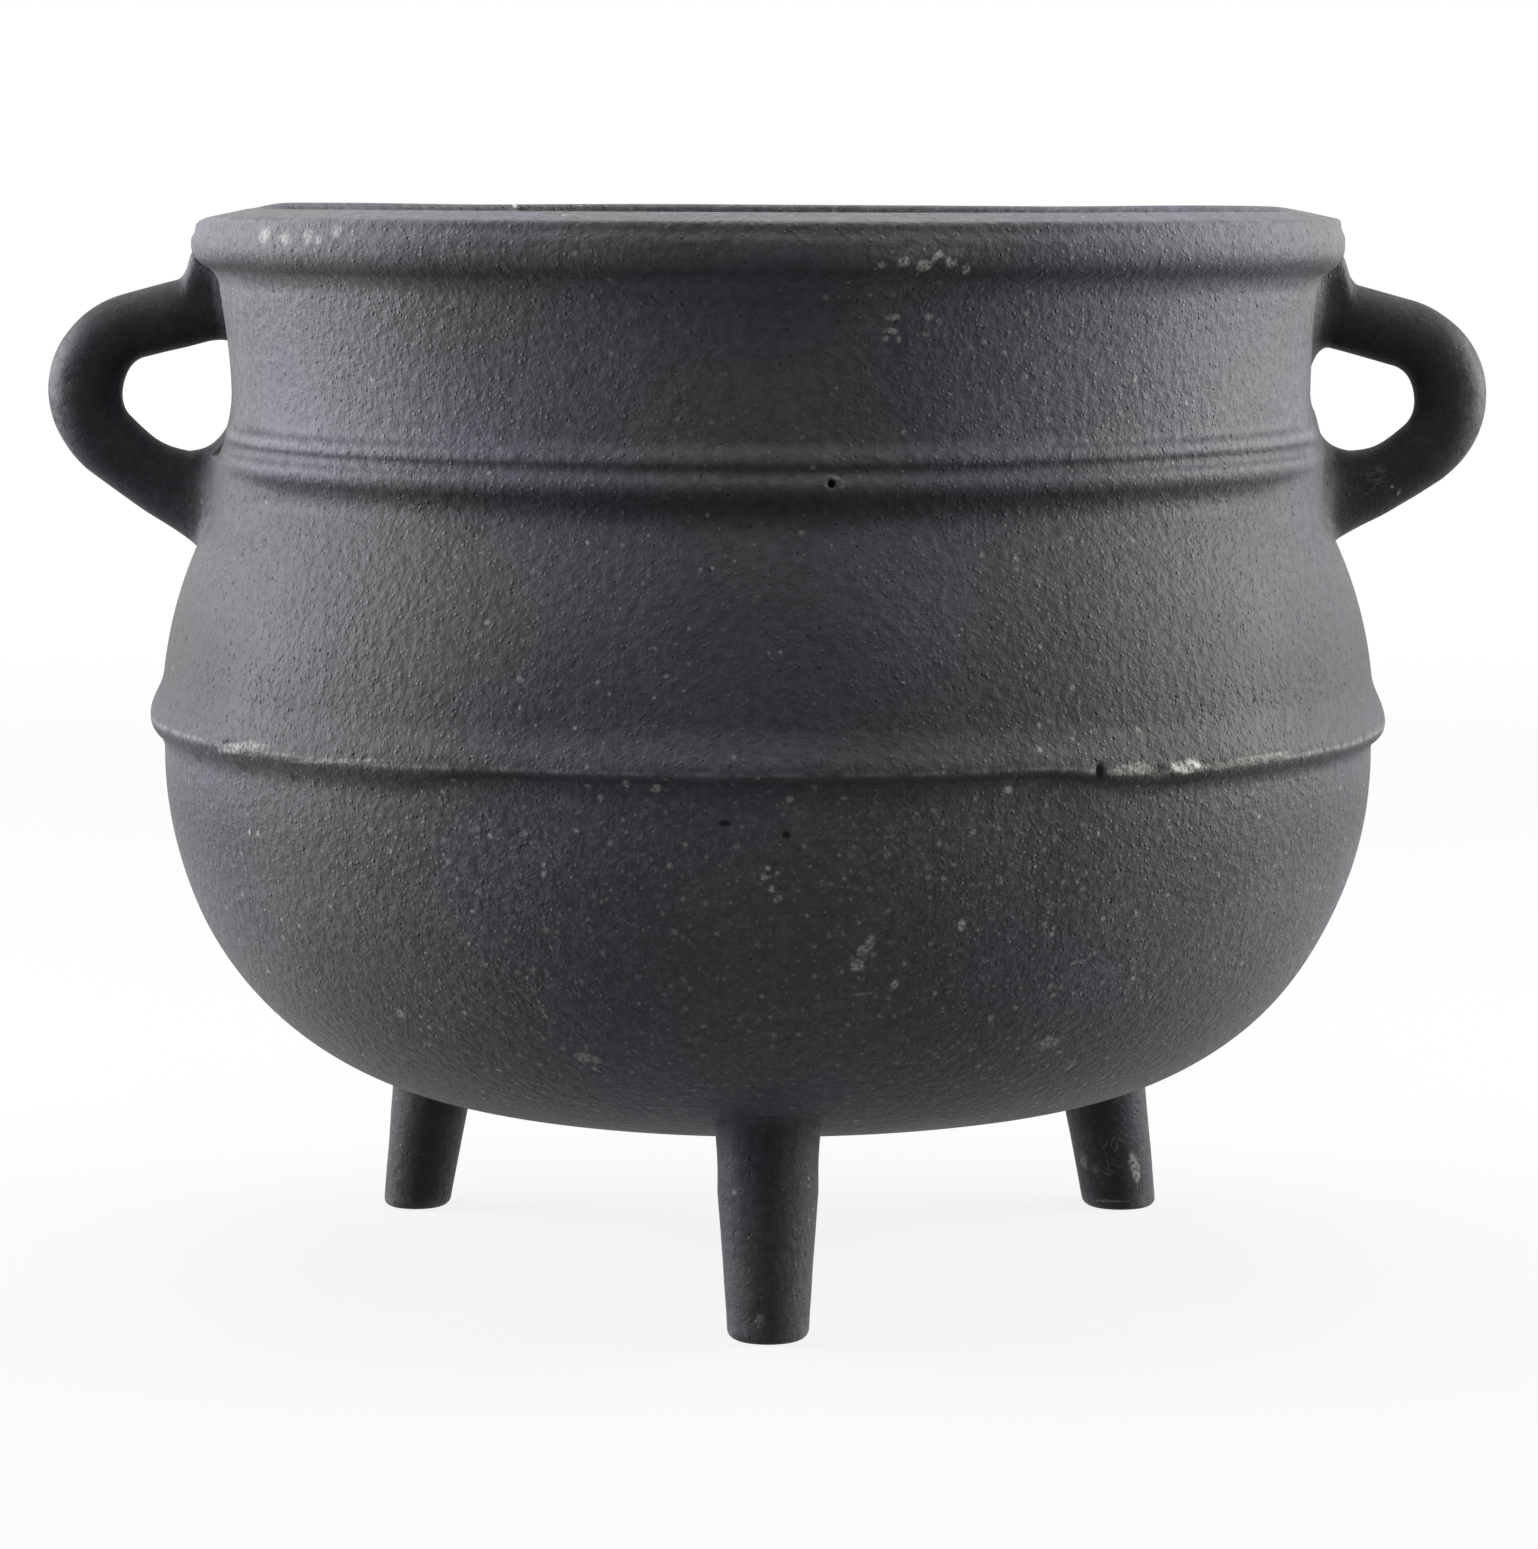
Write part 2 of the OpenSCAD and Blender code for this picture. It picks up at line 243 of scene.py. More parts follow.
def neck_at(z, inset):
    """Radius of the neck at the height z, moved inwards by inset."""
    return neck_c[0] - math.sqrt((neck_rad + inset) ** 2 - (z - neck_foot[1]) ** 2)


face_z = top_z - mouth_h
lip_in_r = neck_at(face_z, wall_t)
mouth_c = Vector((lip_in_r + land_edge, top_z - land_edge))
corner_c = Vector((lip_r - land_back - land_edge, mouth_c[1] - land_drop))
land_normal = 90 - math.degrees(math.atan2(land_drop, corner_c[0] - mouth_c[0]))
corner = arc(corner_c, land_edge, 0, land_normal, FINE_STEP)
mouth = arc(mouth_c, land_edge, land_normal, 90, FINE_STEP)
land_steps = 8
land = [corner[-1].lerp(mouth[0], i / land_steps) for i in range(1, land_steps)]

throat_out = neck_r - wall_t + throat_rad - shoulder_c[0]
throat_z = shoulder_c[1] + math.sqrt((shoulder_rad - wall_t + throat_rad) ** 2 - throat_out ** 2)
throat_turn = math.degrees(math.atan2(throat_z - shoulder_c[1], throat_out))

outside = (bowl_line(0, WIDE_STEP)
           + ogee((side_r, band_z - band_under), (crest_r, band_z))
           + band_slope
           + arc(shoulder_c, shoulder_rad, band_turn, cove_turn)
           + arc(cove_c, cove_rad, 180 + cove_turn, 180 - nose_turn, FINE_STEP)
           + arc(low_ridge - Vector((nose_rad, 0)), nose_rad, -nose_turn, 0, FINE_STEP)
           + ogee(low_ridge, groove) + ogee(groove, high_ridge) + ogee(high_ridge, neck_foot)
           + arc(neck_c, neck_rad, 180, neck_turn(lip_foot_z, 0))
           + ogee((neck_at(lip_foot_z, 0), lip_foot_z), (lip_r, lip_foot_z + lip_roll))
           + ogee((lip_r, corner_c[1] - hollow_rise), (lip_r - land_back, corner_c[1]))
           + corner + land + mouth)
inside = (bowl_line(wall_t, 2 * WIDE_STEP)
          + arc(shoulder_c, shoulder_rad - wall_t, 0, throat_turn, 2 * WIDE_STEP)
          + arc((shoulder_c[0] + throat_out, throat_z), throat_rad, 180 + throat_turn, 180, WIDE_STEP)
          + arc(neck_c, neck_rad + wall_t, 180, neck_turn(face_z, wall_t), 2 * WIDE_STEP)
          + arc(mouth_c, land_edge, 180, 90, FINE_STEP))
print(f"{len(outside)} points outside, {len(inside)} inside, widest {max(p[0] for p in outside):.2f} mm")

# %% [markdown]
# ## The wall of the pot
# One spin turns the section into the wall. The chain runs from the axis under the bowl over the lip and back to
# the axis inside, so the full turn closes the shape. Merging doubles then closes the two poles, and the normals
# are worked out anew because a spin may leave them pointing inwards.

# %% Spin the section
SPIN_STEPS = 288
WELD = 0.002


def polyline(bm, points):
    """Vertices and edges along a section, with the points where two stretches meet made one."""
    verts = []
    for point in points:
        if not verts or (point - Vector((verts[-1].co.x, verts[-1].co.z))).length > WELD:
            verts.append(bm.verts.new((point[0], 0, point[1])))
    edges = [bm.edges.new(pair) for pair in zip(verts, verts[1:])]
    return verts + edges


pot = bmesh.new()
section = polyline(pot, outside + inside[::-1])
bmesh.ops.spin(pot, geom=section, cent=(0, 0, 0), axis=(0, 0, 1), angle=2 * math.pi, steps=SPIN_STEPS,
               use_merge=True)
bmesh.ops.remove_doubles(pot, verts=pot.verts, dist=WELD)
bmesh.ops.recalc_face_normals(pot, faces=pot.faces)
print(f"{len(pot.verts)} vertices, {len(pot.faces)} faces, {sum(not e.is_manifold for e in pot.edges)} open edges")

# %% [markdown]
# Sand gives way a little when the pattern is drawn and when iron fills the mould, so no ring on the real pot is
# quite round or quite level. Smooth noise moves each vertex by a few tenths of a millimetre. The photo shows
# larger faults too: the rim leans to the back and the right and dips over the left ear, the hollows of the
# moulding were filled up where the ears were moulded on, the band stands higher at the left and over the front,
# where its underside is tight, and neck and bowl sit a little to the right.

# %% Helpers for smooth changes
def soft(share):
    """One in the middle of a mark and zero at its edge."""
    return 0.5 + 0.5 * math.cos(math.pi * min(1, share))


def rising(value, low, high):
    """Zero below low, one above high, and a smooth rise between them."""
    share = min(1, max(0, (value - low) / (high - low)))
    return share * share * (3 - 2 * share)


def blend(a, b, share):
    """Value on the way from a to b."""
    return a + (b - a) * share


def hump(value, middle, width):
    """One at the middle, fading to zero at width from it."""
    return soft(abs(value - middle) / width) if abs(value - middle) < width else 0


def off_ear(place):
    """Angle in degrees round the pot between a place and the nearer ear."""
    return math.degrees(abs(math.atan2(place.y, abs(place.x))))


# %% Let the casting settle
WOBBLES = ((55, 0.22), (17, 0.10))
LEVEL_WOBBLE = 0.22
RIM_LOW, LEAN_BACK, LEAN_RIGHT, LEAN_FROM = 0.5, 0.0042, 0.0035, 150
LEFT_DIP, RIGHT_DIP, DIP_ANGLE = 1.8, 0.1, 22
BACK_RISE, BACK_SIDES = 0.4, (50, 80)
FILL_SHARE, FILL_WIDTH, GROOVE_ANGLE, COVE_ANGLE = 0.95, 16, 5, 18
FILL_PROUD, FILL_HIGH, LEFT_POWER = 0.9, 2.5, 0.3
BOWL_ASIDE, ASIDE_HEIGHTS = 0.75, (28, 62)
NECK_ASIDE, NECK_HEIGHTS = 0.5, (153, 18)
LEFT_RISE, RIGHT_RISE, FRONT_RISE, UNDER_RISE = 1.1, -0.2, 1.6, 4
FRONT_FROM, FRONT_TO = 42, 62
BAND_GIVE = 14


def wobble(place, waves=WOBBLES):
    """Sideways shift of a point of the casting, from waves given by length and height."""
    return sum(height * noise.noise(place / length) for length, height in waves)


def sag(place):
    """How far a point of the lip lies below its level place."""
    lean = RIM_LOW + LEAN_BACK * (place.y + neck_r) + LEAN_RIGHT * place.x
    lean -= BACK_RISE * rising(abs(place.x), *BACK_SIDES) * rising(place.y, 0, neck_r / 4)
    dip = (RIGHT_DIP if place.x > 0 else LEFT_DIP) * soft(off_ear(place) / DIP_ANGLE)
    return lean * rising(place.z, LEAN_FROM, lip_z) + dip * rising(place.z, lip_z + 2, corner_c[1])


def filled(place):
    """How much the moulding is filled up at a place: most beside the ears, and farther round in the cove."""
    angle = blend(COVE_ANGLE, GROOVE_ANGLE, rising(place.z, cove_c[1], groove[1]))
    return FILL_SHARE * (1 - rising(off_ear(place), angle, angle + FILL_WIDTH))


def filled_radius(place, radius):
    """Radius of the outer wall with the hollows of the moulding filled up near the ears."""
    top = neck_foot[1] + FILL_HIGH
    if radius < neck_r - wall_t / 2 or not band_z < place.z < top:
        return radius
    proud = low_ridge[0] + FILL_PROUD * (1 - rising(off_ear(place), 0, FILL_WIDTH))
    share = min(1, max(0, (place.z - low_ridge[1]) / (top - low_ridge[1])))
    plain = blend(proud, neck_r, share ** (LEFT_POWER if place.x < 0 else 1))
    if place.z < low_ridge[1]:
        plain = max(radius, plain)
    return blend(radius, plain, filled(place))


def over_front(place):
    """One over the front and the back, fading to zero at the sides."""
    return 1 - rising(abs(place.x), FRONT_FROM, FRONT_TO)


def band_lift(place):
    """How far a point near the band lies above its level place."""
    side = blend(LEFT_RISE, RIGHT_RISE, rising(place.x, 0, FRONT_FROM))
    crest, under = blend(side, FRONT_RISE, over_front(place)), UNDER_RISE * over_front(place)
    if place.z > band_z:
        return crest * (1 - rising(place.z, band_z, band_z + BAND_GIVE))
    foot = band_z - band_under
    if place.z > foot:
        return blend(under, crest, (place.z - foot) / band_under)
    return under * rising(place.z, foot - BAND_GIVE, foot)


def settle_casting(bm):
    """Move every ring slightly in or out and up or down."""
    for v in bm.verts:
        outwards = Vector((v.co.x, v.co.y, 0))
        if outwards.length > 1:
            radius = filled_radius(v.co, outwards.length) + wobble(v.co)
            lift = LEVEL_WOBBLE * noise.noise(outwards / 60 + Vector((7, 3, v.co.z / 200)))
            lift = lift * min(1, v.co.z / 60) - sag(v.co)
            if radius > neck_r:
                lift += band_lift(v.co)
            v.co = outwards.normalized() * radius + Vector((0, 0, v.co.z + lift))
        v.co.x += BOWL_ASIDE * (1 - rising(v.co.z, *ASIDE_HEIGHTS)) + NECK_ASIDE * hump(v.co.z, *NECK_HEIGHTS)


settle_casting(pot)
print(f"highest point of the settled wall {max(v.co.z for v in pot.verts):.2f} mm")

# %% [markdown]
# ## Marks of the foundry
# Gas leaves blow holes, the drawn pattern leaves pits, and knocks chip the lip. Each mark is given by the pixel
# where the photo shows it. A ray from the camera finds the wall there, and the wall's own normal and a level
# line make a small set of axes for the mark.

# %% Find marks on the iron
def tree_of(bm):
    """A search tree for rays against a mesh in millimetres."""
    return BVHTree.FromBMesh(bm)


def spot_at(tree, px, py):
    """Axes of the place that the camera sees at a pixel: level along x, out of the iron along y."""
    place, normal, _, _ = tree.ray_cast(camera.location / MM, photo_ray(px, py))
    level = Vector((0, 0, 1)).cross(normal).normalized() * -1
    up = level.cross(normal) * -1
    axes = Matrix((level, normal, up)).transposed().to_4x4()
    axes.translation = place
    return axes


pot_tree = tree_of(pot)
BLOW_HOLE = (832, 484)
print("blow hole at", [round(c, 1) for c in spot_at(pot_tree, *BLOW_HOLE).translation])

# %% [markdown]
# The spun wall has a vertex about every two millimetres, which is too coarse for a hole of that size. Cutting
# the edges near a mark in two, and again nearer to it, puts vertices where they are needed and nowhere else.

# %% Cut the mesh finer round a mark
def refine(bm, axes, width, height, rounds):
    """Halve the edges in an oval round a spot, several times over."""
    into = axes.inverted()
    for turn_no in range(rounds):
        grown = 1 + 0.5 * (rounds - turn_no - 1)
        near = []
        for v in bm.verts:
            p = into @ v.co
            oval = (p.x / width) ** 2 + (p.z / height) ** 2
            v.tag = oval < grown ** 2 and abs(p.y) < max(width, height)
        near = [e for e in bm.edges if e.verts[0].tag and e.verts[1].tag]
        bmesh.ops.subdivide_edges(bm, edges=near, cuts=1, use_grid_fill=True)


def sculpt(bm, axes, width, height, depth_at):
    """Move the vertices in an oval round a spot along its normal, by depth_at(share, point)."""
    into = axes.inverted()
    out = axes.to_3x3() @ Vector((0, 1, 0))
    for v in bm.verts:
        p = into @ v.co
        share = math.hypot(p.x / width, p.z / height)
        if share < 1 and abs(p.y) < max(width, height):
            v.co += out * depth_at(share, v.co)


# %% [markdown]
# A blow hole has a raised, rounded rim where the skin of iron was pushed up, and a steep wall inside. Pits have
# no rim. Chips are shallow and ragged, so their depth comes from noise.

# %% Make the holes and pits
def holed(depth, rim):
    """Profile of a blow hole: a pit over the inner half and a raised ring outside it."""
    def depth_at(share, _):
        pit = depth * soft(share / 0.52) if share < 0.52 else 0
        return rim * soft(abs(share - 0.68) / 0.32) - pit
    return depth_at


def pitted(depth):
    """Profile of a plain pit."""
    return lambda share, _: -depth * soft(share)


HOLES = {
    "blow hole": (BLOW_HOLE, 2.0, 1.7, 3, holed(1.6, 0.18)),
    "pin hole beside it": ((728, 494), 0.8, 0.9, 3, pitted(0.45)),
    "second pin hole": ((717, 488), 0.6, 0.8, 3, pitted(0.3)),
    "left pit of the bowl": ((725, 823), 1.1, 0.8, 3, pitted(0.4)),
    "right pit of the bowl": ((786, 835), 0.8, 1.0, 3, pitted(0.4)),
    "notch in the band": ((1100, 771), 1.1, 1.9, 2, pitted(0.8)),
    "nick in the rim": ((519, 209), 2.2, 1.4, 2, pitted(0.35)),
}
for name, (pixel, width, height, rounds, profile) in HOLES.items():
    axes = spot_at(pot_tree, *pixel)
    refine(pot, axes, width + 0.6, height + 0.6, rounds)
    sculpt(pot, axes, width, height, profile)
    print(name, "cut, wall now has", len(pot.faces), "faces")


# %% [markdown]
# The parting line runs round the crest of the belly band. Most of it was dressed with a file, but on the right
# of the photo a ragged rag of flash is left, and on the left the edge is broken.

# %% Raise the flash and break the edges
def ragged(raise_by, dig_by, grain):
    """Profile of a broken edge: lumps that stand proud and bites between them."""
    def depth_at(share, place):
        lump = noise.noise(place / grain) + 0.5 * noise.noise(place * 2.3 / grain)
        return soft(share ** 2) * (raise_by * max(0, lump) + dig_by * min(0, lump))
    return depth_at


BROKEN = {
    "flash on the band": ((1183, 768), 12.5, 1.6, 1, ragged(0.9, 0.5, 1.7)),
    "flash running out": ((1290, 745), 7.5, 1.4, 1, ragged(0.35, 0.3, 1.9)),
    "broken band on the left": ((235, 748), 8.0, 1.6, 1, ragged(0.3, 0.7, 2.1)),
    "chips on the left of the lip": ((300, 237), 7.0, 1.7, 1, ragged(0.15, 0.4, 1.6)),
    "chips on the right of the lip": ((918, 262), 6.4, 1.5, 1, ragged(0.2, 0.5, 1.5)),
    "scab on the neck": ((905, 332), 6.0, 4.0, 1, ragged(0.35, 0.2, 1.9)),
    "lump on the bowl": ((962, 925), 0.9, 1.1, 2, lambda share, _: 0.35 * soft(share)),
}
for name, (pixel, width, height, rounds, profile) in BROKEN.items():
    axes = spot_at(pot_tree, *pixel)
    refine(pot, axes, width, height, rounds)
    sculpt(pot, axes, width, height, profile)
    print(name, "made, wall now has", len(pot.faces), "faces")

# %% [markdown]
# A finished mesh is checked, shrunk to metres and linked. Its object stays at the origin, so a pattern on Object
# coordinates sits still, and it rides on the frame's only body in place of the plain node of the same piece.

# %% Turn a mesh into a piece
def store(bm, name, amount_at):
    """Keep a value on every vertex, for the finish to read."""
    layer = bm.verts.layers.float.new(name)
    for v in bm.verts:
        v[layer] = amount_at(v.co)


def near_wall(place):
    """One on the wall, fading to zero a few millimetres off it."""
    return 1 - rising(pot_tree.find_nearest(place)[3], 0.2, 2)


def plain_tone(_):
    """One all over: nothing is lighter or darker than the rest."""
    return 1


def finish_piece(bm, node, name):
    """Make the object that stands for a CAD node."""
    bmesh.ops.scale(bm, vec=(MM, MM, MM), verts=bm.verts)
    bmesh.ops.triangulate(bm, faces=[f for f in bm.faces if len(f.verts) > 4])
    for face in bm.faces:
        face.smooth = True
    mesh = bpy.data.meshes.new(name)
    bm.to_mesh(mesh)
    triangles = sum(len(f.verts) - 2 for f in bm.faces)
    open_edges = sum(not e.is_manifold for e in bm.edges)
    print(f"{name}: {triangles} triangles, {open_edges} open edges, {bm.calc_volume() * 1e9:.0f} mm3")
    bm.free()
    piece = bpy.data.objects.new(name, mesh)
    bpy.context.scene.collection.objects.link(piece)
    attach(piece, "root")
    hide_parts(node)
    return piece


# %% Wear, and painted light and shade, of the wall
# Painted light and shade of the wall: a lighter neck, a darker shoulder and bowl, painted shadows under the lip and
# the band, painted highlights on the ridges and over the front of the band, and painted shade in the groove, the cove
# and at the sides near the band.
NECK_PAINTED_LIGHT, SHOULDER_PAINTED_SHADE, BOWL_PAINTED_SHADE = 1.14, 0.82, 0.89
# The bowl is lighter over the middle of its front and of its back.
BOWL_MIDDLE_LIFT, BOWL_MIDDLE_WIDTH = 0.26, 48
PAINTED_SHADOWS = (
    (lip_z + 0.5, 4.5, -0.15),
    (lip_z + 0.2, 1.8, -0.25),
    (band_z - 1.4, 1.5, -0.4),
)
MOULDING_PAINTED_LIGHT = (
    (high_ridge[1] + 0.6, 1.7, 0.25),
    (groove[1], 1, -0.25),
    (low_ridge[1] + 0.8, 2.4, 0.3),
    (cove_c[1] + 1.8, 3.6, -0.35),
)
FRONT_PAINTED_LIGHT = ((band_z + 2, 3, 0.3), (band_z - 14, 13, -0.1))
SIDE_PAINTED_SHADE = ((band_z + 12, 26, -0.42), (band_z - 13, 14, -0.36))
SIDE_FROM, SIDE_TO = 50, 100


def on_land(place, radius):
    """Whether a place is on the land along the top of the lip."""
    return place.z > corner_c[1] - 0.5 and radius < lip_r - land_back


def pot_wear(place):
    """Rubbed edges of the pot: the band's crest and the land of the lip."""
    radius = math.hypot(place.x, place.y)
    crest = hump(place.z - band_lift(place), band_z, 0.8) if radius > side_r - 1 else 0
    return max(crest, 0.15 if on_land(place, radius) else 0)


def changes(z, tones):
    """Sum of the changes of painted light and shade at a height."""
    return sum(change * hump(z, middle, width) for middle, width, change in tones)


def pot_painted_light(place):
    """Painted light and shade on the wall, against its plain colour: a lighter neck, a darker shoulder and bowl,
    painted shadows under the lip and the band, painted highlights on the ridges and over the front of the band,
    painted shade in the groove, the cove and at the sides near the band, and a lighter middle of the bowl.
    """
    radius = math.hypot(place.x, place.y)
    if radius < neck_r - wall_t / 2 and place.z > band_z:
        return 1
    z = place.z - band_lift(place)
    bowl = BOWL_PAINTED_SHADE + BOWL_MIDDLE_LIFT * hump(place.x, 0, BOWL_MIDDLE_WIDTH)
    tone = blend(bowl, SHOULDER_PAINTED_SHADE, rising(z, band_z - band_under, band_z))
    tone = blend(tone, NECK_PAINTED_LIGHT, rising(z, low_ridge[1], neck_foot[1]))
    near_band = (changes(z, FRONT_PAINTED_LIGHT) * over_front(place)
                 + changes(z, SIDE_PAINTED_SHADE) * rising(abs(place.x), SIDE_FROM, SIDE_TO))
    moulding = changes(z, MOULDING_PAINTED_LIGHT) * (1 - filled(place))
    return tone * (1 + changes(z, PAINTED_SHADOWS) + near_band + moulding)


pot_tree = tree_of(pot)
store(pot, "rubbed_edge", pot_wear)
# The wall's tone attribute carries this painted light and shade.
store(pot, "tone", pot_painted_light)
store(pot, "near_wall", plain_tone)
pot_piece = finish_piece(pot, "pot_body", "cauldron_wall")

# %% [markdown]
# ## The ears
# Each ear is a round bar that leaves the neck just under the lip, turns tightly and comes back to the shoulder.
# The two were moulded by hand and differ, so each has its own sizes. A circle is extruded along the middle line.
# At every step the new ring is carried from the last station's axes to the next one's.

# %% Sizes of the ears
EAR_SIDES = 64
EARS = {
    "left_ear": dict(side=-1, reach=125.7, bend_z=151.7, bend_rad=11.9, droop=14.4, climb=41.5, root_climb=30.5,
                     upper_r=5.8, bend_r=6.5, lower_r=6, upper_flare=(1.4, 0.8), lower_flare=(0.3, 10)),
    "right_ear": dict(side=1, reach=125.5, bend_z=150.5, bend_rad=11.9, droop=15.9, climb=37, root_climb=25,
                      upper_r=5.9, bend_r=6.3, lower_r=5.8, upper_flare=(8, 0.8), lower_flare=(0.3, 10)),
}
upper_out, lower_out = 6, 11
bar_step = 0.6
bow_thin = 0.3
gusset_rise, gusset_from, gusset_to = 3.2, lip_r - 0.7, lip_r + 2.8
web_rise, web_from, web_to = 3, lip_r + 0.2, lip_r + 1.4
crotch_rise, crotch_from, crotch_to = 1.6, neck_r + 5, neck_r + 14


# %% Middle line of an ear
def ear_stations(ear):
    """Places along an ear with the heading of the bar and its radius, from the upper root to the lower one."""
    bend = Vector((ear["reach"] - ear["bend_r"] - ear["bend_rad"], ear["bend_z"]))
    start_x, end_x = neck_r + upper_out, neck_r + lower_out
    stations = []

    def station(place, heading, radius):
        stations.append((place, heading, radius))

    def rim(heading):
        return bend + ear["bend_rad"] * Vector((-math.sin(heading), math.cos(heading)))

    droop, climb = math.radians(ear["droop"]), math.radians(ear["climb"])
    upper, lower = rim(-droop), rim(climb - math.pi)
    limb = math.ceil((upper[0] - start_x) / bar_step)
    for i in range(limb):
        x = blend(start_x, upper[0], i / limb)
        station(Vector((x, upper[1] + (upper[0] - x) * math.tan(droop))), -droop, ear["upper_r"])
    sweep = math.pi - droop - climb
    count = math.ceil(sweep * (ear["bend_rad"] + ear["bend_r"]) / bar_step)
    for i in range(count + 1):
        share = i / count
        swell = (1 - math.cos(2 * math.pi * share)) / 2
        limb_r = blend(ear["upper_r"], ear["lower_r"], share)
        heading = -droop - sweep * share
        station(rim(heading), heading, blend(limb_r, ear["bend_r"], swell))
    limb = math.ceil((lower[0] - end_x) / bar_step)
    place = lower
    for i in range(1, limb + 1):
        slope = blend(climb, math.radians(ear["root_climb"]), i / limb)
        place = place - (lower[0] - end_x) / limb * Vector((1, math.tan(slope)))
        station(place, slope - math.pi, ear["lower_r"] - bow_thin * math.sin(math.pi * i / limb))
    return stations


def ring_axes(place, heading, radius, side):
    """Matrix that lays a unit circle square across the bar."""
    ahead = Vector((side * math.cos(heading), 0, math.sin(heading)))
    above = Vector((-side * math.sin(heading), 0, math.cos(heading)))
    across = Vector((0, 1, 0))
    axes = Matrix((across * radius, above * radius, ahead * radius)).transposed().to_4x4()
    axes.translation = (side * place[0], 0, place[1])
    return axes


# %% [markdown]
# A root is where the bar meets the wall. Iron fills that corner, so the bar swells into the wall in a hollow
# curve. Each point of the bar's last ring is sent along the bar until it hits the wall, and again from a wider
# ring. A quarter of an oval leads from the one place to the other, a little below the surface, and a last ring
# deeper inside the wall hides the seam.

# %% Grow a root onto the wall
ROOT_RINGS = 12
ROOT_SINK = 0.3
ROOT_DEEP = 2


def extrude_ring(bm, edges):
    """One more ring at the place of an open ring, as its edges and vertices."""
    grown = bmesh.ops.extrude_edge_only(bm, edges=edges)["geom"]
    verts = {g for g in grown if isinstance(g, bmesh.types.BMVert)}
    rim = [g for g in grown if isinstance(g, bmesh.types.BMEdge) and verts.issuperset(g.verts)]
    return rim, verts


def grow_root(bm, edges, ahead, flare_at, tree):
    """Rings that swell from the open end of a bar onto the wall, with a cap inside it."""
    corners = {v for e in edges for v in e.verts}
    centre = sum((v.co for v in corners), Vector()) / len(corners)
    rings = []
    for _ in range(ROOT_RINGS + 1):
        edges, verts = extrude_ring(bm, edges)
        rings.append(verts)
    for i, verts in enumerate(rings, start=1):
        angle = math.pi / 2 * min(1, i / ROOT_RINGS)
        for v in verts:
            start, spoke = v.co.copy(), v.co - centre
            wide = centre + spoke * (1 + flare_at(spoke.normalized()) / spoke.length)
            seat = tree.ray_cast(start, ahead)[0]
            skirt, normal, _, _ = tree.ray_cast(wide, ahead)
            skirt = skirt - normal * ROOT_SINK
            v.co = start + (seat - start) * math.sin(angle) + (skirt - seat) * (1 - math.cos(angle))
            if i > ROOT_RINGS:
                v.co += ahead * ROOT_DEEP
    bmesh.ops.edgeloop_fill(bm, edges=edges)


# %% Cast the ears
BAR_WAVES = ((14, 0.16), (5, 0.06))


def roughen(bm, waves, lowest=-1):
    """Lumps along the normals of a bar, above the height lowest."""
    bm.normal_update()
    for v in bm.verts:
        if v.co.z > lowest:
            v.co += v.normal * wobble(v.co, waves)


def one_sided(low, high):
    """Flare of a root that is low underneath and high on top."""
    return lambda spoke: blend(low, high, (1 + spoke.z) / 2)


def fill_corner(bm, lowest, highest, rise, near, far):
    """Raise what faces up between two heights, most where it runs into the wall."""
    bm.normal_update()
    for v in bm.verts:
        if lowest < v.co.z < highest and v.normal.z > 0:
            v.co.z += rise * v.normal.z * (1 - rising(abs(v.co.x), near, far))


def ear_wear(place):
    """The outside of the bend is rubbed by hands and hooks."""
    return 0.6 * hump(abs(place.x), neck_r + 32, 9)


def ear_near_wall(place):
    """Where the ear has the wall's colour: beside the wall, under the lip, and where it runs up the neck."""
    run_up = rising(place.z, low_ridge[1] - 1, groove[1]) * (1 - rising(abs(place.x), neck_r + 2, neck_r + 6))
    return max(near_wall(place), rising(place.z, lip_z - 4, lip_z), run_up * (place.z < neck_foot[1] + 6))


def make_ear(node, ear):
    """One ear on the wall."""
    bm = bmesh.new()
    stations = ear_stations(ear)
    axes = [ring_axes(place, heading, radius, ear["side"]) for place, heading, radius in stations]
    first = bmesh.ops.create_circle(bm, segments=EAR_SIDES, radius=1, matrix=axes[0])["verts"]
    first_rim = list({e for v in first for e in v.link_edges})
    rim = first_rim
    for before, after in zip(axes, axes[1:]):
        rim, verts = extrude_ring(bm, rim)
        bmesh.ops.transform(bm, matrix=after @ before.inverted(), verts=list(verts))
    bmesh.ops.recalc_face_normals(bm, faces=bm.faces)
    roughen(bm, BAR_WAVES)
    ends = [m.to_3x3() @ Vector((0, 0, 1)) for m in (axes[0], axes[-1])]
    grow_root(bm, first_rim, -ends[0].normalized(), one_sided(*ear["upper_flare"]), pot_tree)
    grow_root(bm, rim, ends[1].normalized(), one_sided(*ear["lower_flare"]), pot_tree)
    fill_corner(bm, ear["bend_z"], top_z, gusset_rise, gusset_from, gusset_to)
    fill_corner(bm, ear["bend_z"], top_z, web_rise, web_from, web_to)
    fill_corner(bm, 0, ear["bend_z"], crotch_rise, crotch_from, crotch_to)
    bmesh.ops.recalc_face_normals(bm, faces=bm.faces)
    tree = tree_of(bm)
    store(bm, "rubbed_edge", ear_wear)
    store(bm, "near_wall", ear_near_wall)
    store(bm, "tone", plain_tone)
    return finish_piece(bm, node, node.replace("_", "_cast_")), tree


ear_pieces = {node: make_ear(node, ear) for node, ear in EARS.items()}

